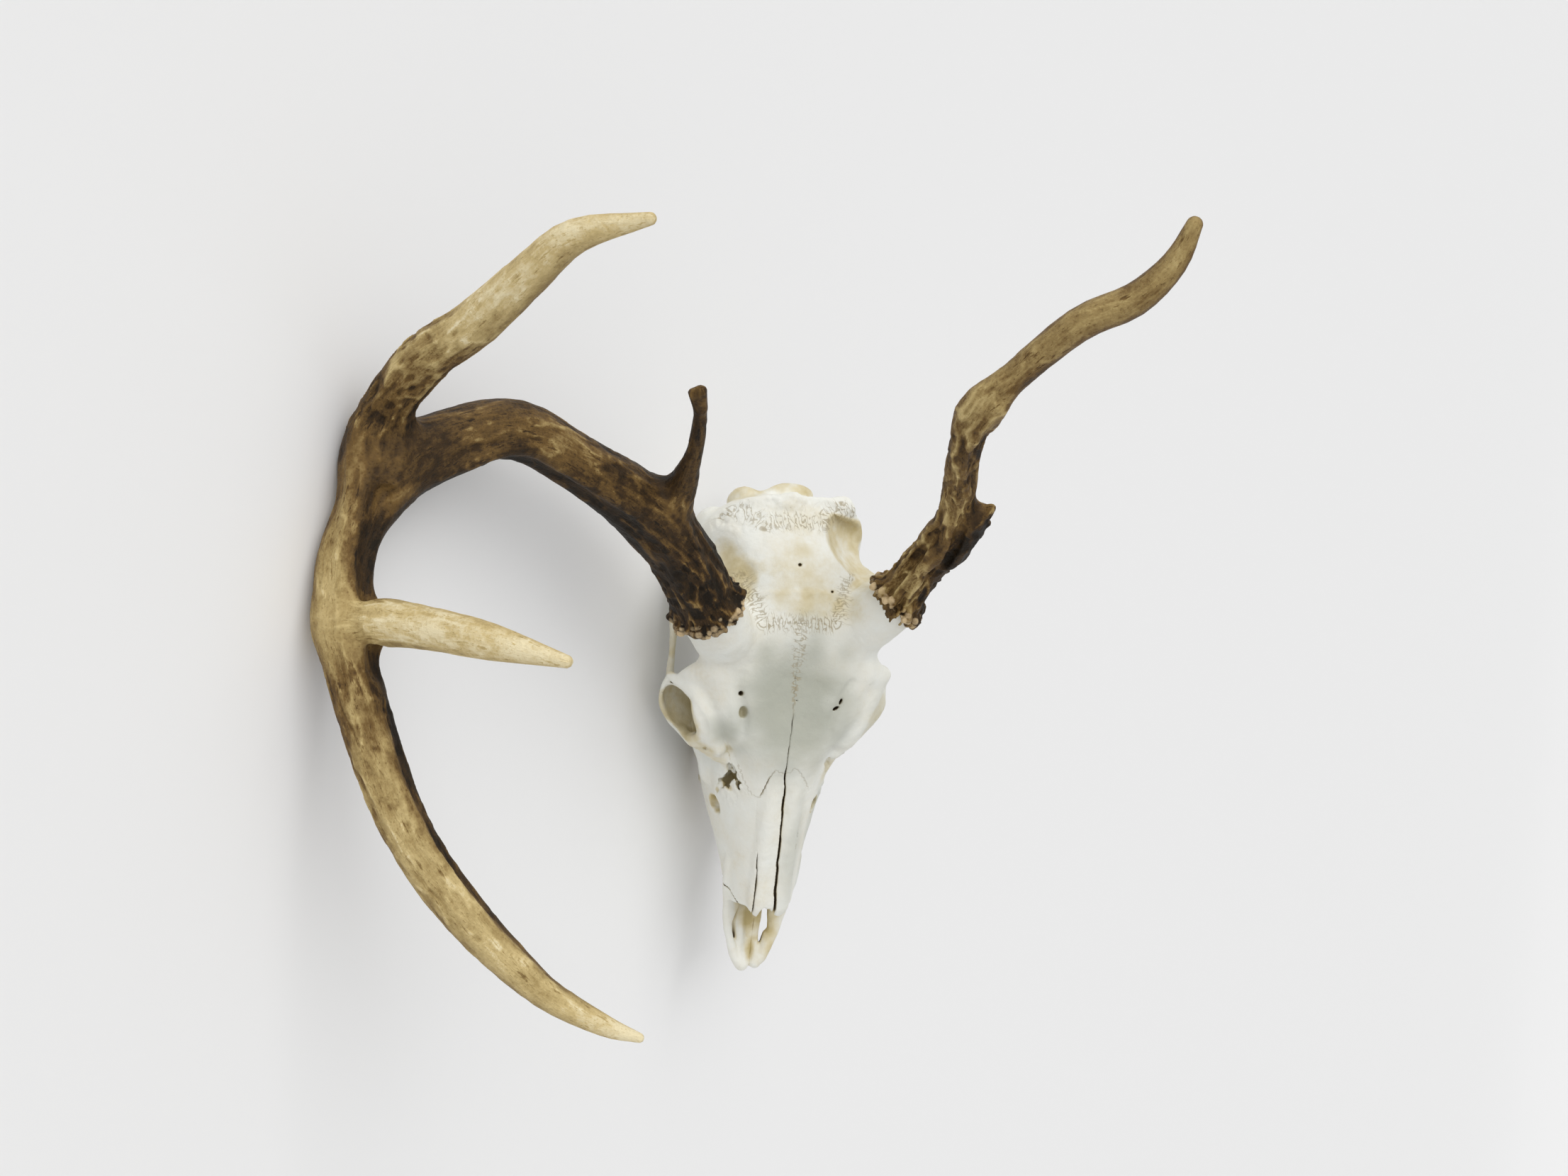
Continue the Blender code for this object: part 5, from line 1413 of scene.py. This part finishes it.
def bone_finish(settings):
    """Bleached bone: white, tan where it is stained or hollow, with tan seams and pores; grey
    painted shade on the forehead and the face's left, and near-black painted shade deep in holes.
    """
    material, sheet, shader = new_material("bleached bone")
    place = sheet.add("ShaderNodeTexCoord").outputs["Object"]
    broad, close = (sheet.use(mottling_group(), {"Place": place, "Scale": scale, "Pit Ratio": ratio})
                    for scale, ratio in ((55.0, 14.0), (420.0, 3.0)))
    hollow = sheet.number("hollow")
    warm = sheet.sum(sheet.number("stain"), (broad["Patches"], 0.10), (close["Patches"], 0.06),
                     (sheet.between(hollow, 0.42, 0.9, 0.0, 0.6), 1.0))
    body = sheet.mix(sheet.between(broad["Patches"], -1.0, 1.0), settings.bone_white, settings.bone_cream)
    # Painted shade: grey laid where the forehead and the left of the face lie in shade
    painted_shade = sheet.times(sheet.number("shade"), settings.painted_shade_depth)
    for share, tone in ((sheet.between(warm, 0.05, 0.55), settings.bone_tan),
                        (sheet.between(warm, 0.55, 1.0), settings.bone_stain),
                        (painted_shade, settings.painted_shade_grey),
                        # Painted shade: near-black brown deep inside the cracks and small holes, where shade
                        # falls
                        (sheet.between(hollow, 0.78, 0.98), settings.crack_painted_shade)):
        body = sheet.mix(share, body, tone)
    seam = None
    for label, pitch, width in SEAM_LINES:
        line = sheet.use(suture_group(), {"Place": sheet.vector(label), "Pitch": pitch,
                                          "Width": width})["Line"]
        seam = sheet.maths("MAXIMUM", seam, line) if seam else line
    seam = sheet.times(seam, sheet.between(broad["Patches"], -1.0, 0.4, 0.45, 1.0))
    body = sheet.mix(sheet.times(seam, 0.8), body, settings.seam_tan)
    enamel = sheet.mix(sheet.between(hollow, 0.25, 0.8), settings.tooth_enamel, settings.tooth_stain)
    body = sheet.mix(sheet.number("tooth"), body, enamel)
    rough = sheet.between(close["Patches"], -1.0, 1.0, 0.48, 0.66)
    height = sheet.sum(sheet.times(close["Patches"], 0.4), (close["Pits"], -0.35), (seam, -1.2))
    sheet.dress(shader, body, rough, height, strength=0.35, distance=0.0004, shine=0.35)
    return material


def antler_finish(name, settings):
    """Antler: browns to cream picked by tone, darker in the hollows, with pale knobs."""
    material, sheet, shader = new_material(name)
    place = sheet.add("ShaderNodeTexCoord").outputs["Object"]
    broad, close = (sheet.use(mottling_group(), {"Place": place, "Scale": scale, "Pit Ratio": ratio})
                    for scale, ratio in ((130.0, 5.0), (620.0, 1.6)))
    streaks = sheet.use(streaks_group(), {"Place": sheet.vector("flow"), "Scale": (0.42, 0.42, 0.075),
                                          "Mask": sheet.number("sure")})
    rugged = sheet.between(sheet.number("rugged"), 0.0, 1.0, 0.35, 1.1)
    tone = sheet.sum(sheet.number("tone"), (broad["Patches"], 0.04), (close["Patches"], 0.05),
                     (sheet.times(streaks["Coarse"], rugged), 0.08),
                     (sheet.times(streaks["Fine"], rugged), 0.07),
                     (streaks["Flecks"], -0.22), (broad["Pits"], -0.06),
                     (sheet.between(sheet.number("hollow"), 0.42, 0.95), -0.2))
    ramp = sheet.add("ShaderNodeValToRGB", {"Fac": tone})
    elements = ramp.color_ramp.elements
    stops = ((0.02, settings.groove_black), (0.2, settings.bark_brown), (0.4, settings.bark_tan),
             (0.6, settings.worn_tan), (0.8, settings.horn_cream), (0.97, settings.tip_cream))
    for element, (position, value) in ((elements[0], stops[0]), (elements[1], stops[-1])):
        element.position = position
        element.color = colour(value)
    for position, value in stops[1:-1]:
        elements.new(position).color = colour(value)
    pearl = sheet.sum(sheet.number("pearl"), (close["Patches"], 0.15))
    body = sheet.mix(sheet.between(pearl, 0.3, 0.9), ramp.outputs["Color"], settings.pearl_cream)
    rough = sheet.sum(sheet.number("rugged"), (close["Patches"], 0.2))
    rough = sheet.between(rough, 0.0, 1.2, 0.45, 0.66)
    height = sheet.sum(sheet.times(close["Patches"], 0.4), (broad["Pits"], -0.5), (streaks["Fine"], 0.6))
    sheet.dress(shader, body, rough, height, strength=0.5, distance=0.0006, shine=0.22)
    return material


# -------------------------------------------------------------------------------- the add-on
def tint(name, description, default):
    """A colour among the settings."""
    return FloatVectorProperty(name=name, description=description, default=default,
                               subtype="COLOR", size=3, min=0.0, max=1.0)


def size(name, description, default):
    """A length among the settings, in metres."""
    return FloatProperty(name=name, description=description, default=default,
                         unit="LENGTH", subtype="DISTANCE", min=0.0, precision=5)


class SkullBoneSettings(bpy.types.PropertyGroup):
    """Grain and colours of the bone and the teeth"""
    bone_grain: size("Bone grain", "Spacing of the grid that the bone's skin is drawn on", 0.00066)
    bone_relief: FloatProperty(name="Bone relief", default=1.0, min=0.0, subtype="FACTOR",
                               description="How strongly the bone's low relief stands out")
    bone_white: tint("Bone white", "Bleached bone", (0.82, 0.83, 0.78))
    bone_cream: tint("Bone cream", "Bone where the bleach has left it warmer", (0.79, 0.77, 0.68))
    bone_tan: tint("Bone tan", "Where a little old fat has yellowed the bone", (0.66, 0.585, 0.39))
    bone_stain: tint("Bone stain", "Old fat and earth in the bone", (0.51, 0.415, 0.20))
    # Painted shade: the grey laid where the forehead and the left of the face lie in shade
    painted_shade_grey: tint("Bone grey", "Painted shade on the forehead and the left of the face", (0.41, 0.42, 0.35))
    # how deep that painted shade is laid
    painted_shade_depth: FloatProperty(name="Shade depth", default=0.9, min=0.0, max=1.0, subtype="FACTOR",
                               description="How grey the painted shade is")
    seam_tan: tint("Seam tan", "The lines where bones have grown together", (0.34, 0.28, 0.17))
    # Painted shade laid deep inside the cracks and small holes
    crack_painted_shade: tint("Crack brown", "Deep inside the cracks and small holes", (0.085, 0.06, 0.03))
    tooth_enamel: tint("Tooth enamel", "Cheek tooth enamel", (0.76, 0.70, 0.54))
    tooth_stain: tint("Tooth stain", "The hollows of the grinding faces", (0.10, 0.06, 0.03))


class SkullAntlerSettings(bpy.types.PropertyGroup):
    """Grain and colours of the antlers"""
    antler_grain: size("Antler grain", "Spacing of the grid the antlers' skin is drawn on", 0.00075)
    groove_depth: size("Groove depth", "Height of the ridges where an antler is most rugged", 0.0014)
    groove_black: tint("Groove", "The darkest brown, in the grooves", (0.012, 0.007, 0.002))
    bark_brown: tint("Bark brown", "The dark brown of the beams", (0.050, 0.026, 0.007))
    bark_tan: tint("Bark tan", "The middle brown of the beams", (0.165, 0.094, 0.026))
    worn_tan: tint("Worn tan", "Where handling has worn the antler pale", (0.39, 0.28, 0.11))
    horn_cream: tint("Horn cream", "The pale tines", (0.63, 0.49, 0.23))
    tip_cream: tint("Tip cream", "The polished tips of the tines", (0.84, 0.73, 0.47))
    pearl_cream: tint("Pearl cream", "The knobs of the burr", (0.66, 0.50, 0.29))


class SkullStageSettings(bpy.types.PropertyGroup):
    """The floor and the light"""
    floor_colour: tint("Floor", "Plain pale floor", (0.86, 0.86, 0.86))
    floor_reach: size("Floor reach", "Half the width of the floor", 60.0)
    floor_lift: size("Floor lift", "How high the floor's far edge lifts to hide the horizon", 16.0)
    sky_strength: FloatProperty(name="Sky strength", default=0.52, min=0.0,
                                description="Light from all round")
    sun_strength: FloatProperty(name="Sun strength", default=2.1, min=0.0,
                                description="The large soft light")
    sun_turn: FloatVectorProperty(name="Sun turn", description="Where the soft light comes from",
                                  default=(0.5, -0.72, 0.0), subtype="EULER", size=3)
    sun_spread: FloatProperty(name="Sun spread", default=1.2, min=0.0, subtype="ANGLE",
                              description="How wide the soft light is")


class SKULL_OT_bones(bpy.types.Operator):
    """Build the bones of the skull and their teeth"""
    bl_idname = "skull.bones"
    bl_label = "Bones"

    def execute(self, context):
        settings = context.scene.skull_bone
        make_bones(settings, bone_finish(settings))
        return {"FINISHED"}


class SKULL_OT_right_antler(bpy.types.Operator):
    """Build the right antler with its four points"""
    bl_idname = "skull.right_antler"
    bl_label = "Right antler"

    def execute(self, context):
        settings = context.scene.skull_antler
        make_right_antler(settings, antler_finish("right antler", settings))
        return {"FINISHED"}


class SKULL_OT_left_antler(bpy.types.Operator):
    """Build the left antler with its broken brow tine"""
    bl_idname = "skull.left_antler"
    bl_label = "Left antler"

    def execute(self, context):
        settings = context.scene.skull_antler
        make_left_antler(settings, antler_finish("left antler", settings))
        return {"FINISHED"}


class SKULL_OT_stage(bpy.types.Operator):
    """Build the floor, the soft light and the camera"""
    bl_idname = "skull.stage"
    bl_label = "Stage"

    def execute(self, context):
        make_stage(context.scene, context.scene.skull_stage)
        return {"FINISHED"}


class SKULL_PT_panel(bpy.types.Panel):
    """The settings, each group above the buttons that build from it"""
    bl_label = "Deer skull"
    bl_idname = "SKULL_PT_panel"
    bl_space_type = "VIEW_3D"
    bl_region_type = "UI"
    bl_category = "Skull"

    def draw(self, context):
        for settings, operators in (
                (context.scene.skull_bone, (SKULL_OT_bones,)),
                (context.scene.skull_antler, (SKULL_OT_right_antler, SKULL_OT_left_antler)),
                (context.scene.skull_stage, (SKULL_OT_stage,))):
            box = self.layout.box()
            for label in settings.__annotations__:
                box.prop(settings, label)
            for operator in operators:
                box.operator(operator.bl_idname)


CLASSES = (SkullBoneSettings, SkullAntlerSettings, SkullStageSettings, SKULL_OT_bones,
           SKULL_OT_right_antler, SKULL_OT_left_antler, SKULL_OT_stage, SKULL_PT_panel)

FLOOR_ROWS = 13                 # rows of the floor's vertices each way
FLOOR_FLAT = 0.3                # the share of the floor's reach that stays flat


def make_stage(scene, settings):
    """A wide floor that lifts far off, an even sky, one large soft light and the camera."""
    places = numpy.linspace(-1.0, 1.0, FLOOR_ROWS)
    x, y = (each.ravel() for each in numpy.meshgrid(places, places, indexing="ij"))
    far = (numpy.hypot(x, y) - FLOOR_FLAT) / (1.0 - FLOOR_FLAT)
    lift = settings.floor_lift * numpy.clip(far, 0.0, 1.5) ** 2
    mesh = bpy.data.meshes.new("floor")
    spots = numpy.column_stack((settings.floor_reach * x, settings.floor_reach * y, lift))
    row = numpy.arange(FLOOR_ROWS - 1)
    first = (row[:, None] * FLOOR_ROWS + row).reshape(-1, 1)
    mesh.from_pydata(spots.tolist(), [], (first + (0, FLOOR_ROWS, FLOOR_ROWS + 1, 1)).tolist())
    mesh.shade_smooth()
    floor = bpy.data.objects.new("floor", mesh)
    scene.collection.objects.link(floor)
    material, _, shader = new_material("pale floor")
    shader.inputs["Base Color"].default_value = colour(settings.floor_colour)
    shader.inputs["Roughness"].default_value = 0.9
    shader.inputs["Specular IOR Level"].default_value = 0.1
    mesh.materials.append(material)
    world = bpy.data.worlds.new("even sky")
    world.use_nodes = True
    background = world.node_tree.nodes["Background"]
    background.inputs["Color"].default_value = (1.0, 1.0, 1.0, 1.0)
    background.inputs["Strength"].default_value = settings.sky_strength
    scene.world = world
    light = bpy.data.lights.new("soft light", "SUN")
    light.energy = settings.sun_strength
    light.angle = settings.sun_spread
    lamp = bpy.data.objects.new("soft light", light)
    lamp.rotation_euler = settings.sun_turn
    scene.collection.objects.link(lamp)
    scene.view_settings.view_transform = "Standard"
    make_camera(scene)


def make_camera(scene):
    """The camera, carried from the skull's frame to the floor's."""
    data = bpy.data.cameras.new("camera")
    data.sensor_width = SENSOR_WIDTH
    data.lens = SENSOR_WIDTH * CAMERA_FOCUS / FRAME_WIDTH
    data.clip_start = 0.05
    data.clip_end = 200.0
    camera = bpy.data.objects.new("camera", data)
    matrix = Matrix((TURN @ VIEW.T).tolist()).to_4x4()
    matrix.translation = (TURN @ EYE + REST_SHIFT) * MM
    camera.matrix_world = matrix
    scene.collection.objects.link(camera)
    scene.camera = camera


def register():
    """Adds the settings, the operators and the panel."""
    for item in CLASSES:
        bpy.utils.register_class(item)
    bpy.types.Scene.skull_bone = PointerProperty(type=SkullBoneSettings)
    bpy.types.Scene.skull_antler = PointerProperty(type=SkullAntlerSettings)
    bpy.types.Scene.skull_stage = PointerProperty(type=SkullStageSettings)


def unregister():
    """Takes them away again."""
    del bpy.types.Scene.skull_stage
    del bpy.types.Scene.skull_antler
    del bpy.types.Scene.skull_bone
    for item in reversed(CLASSES):
        bpy.utils.unregister_class(item)


def main():
    """Builds everything."""
    register()
    bpy.ops.skull.stage()
    bpy.ops.skull.bones()
    bpy.ops.skull.right_antler()
    bpy.ops.skull.left_antler()


if __name__ == "__main__":
    main()
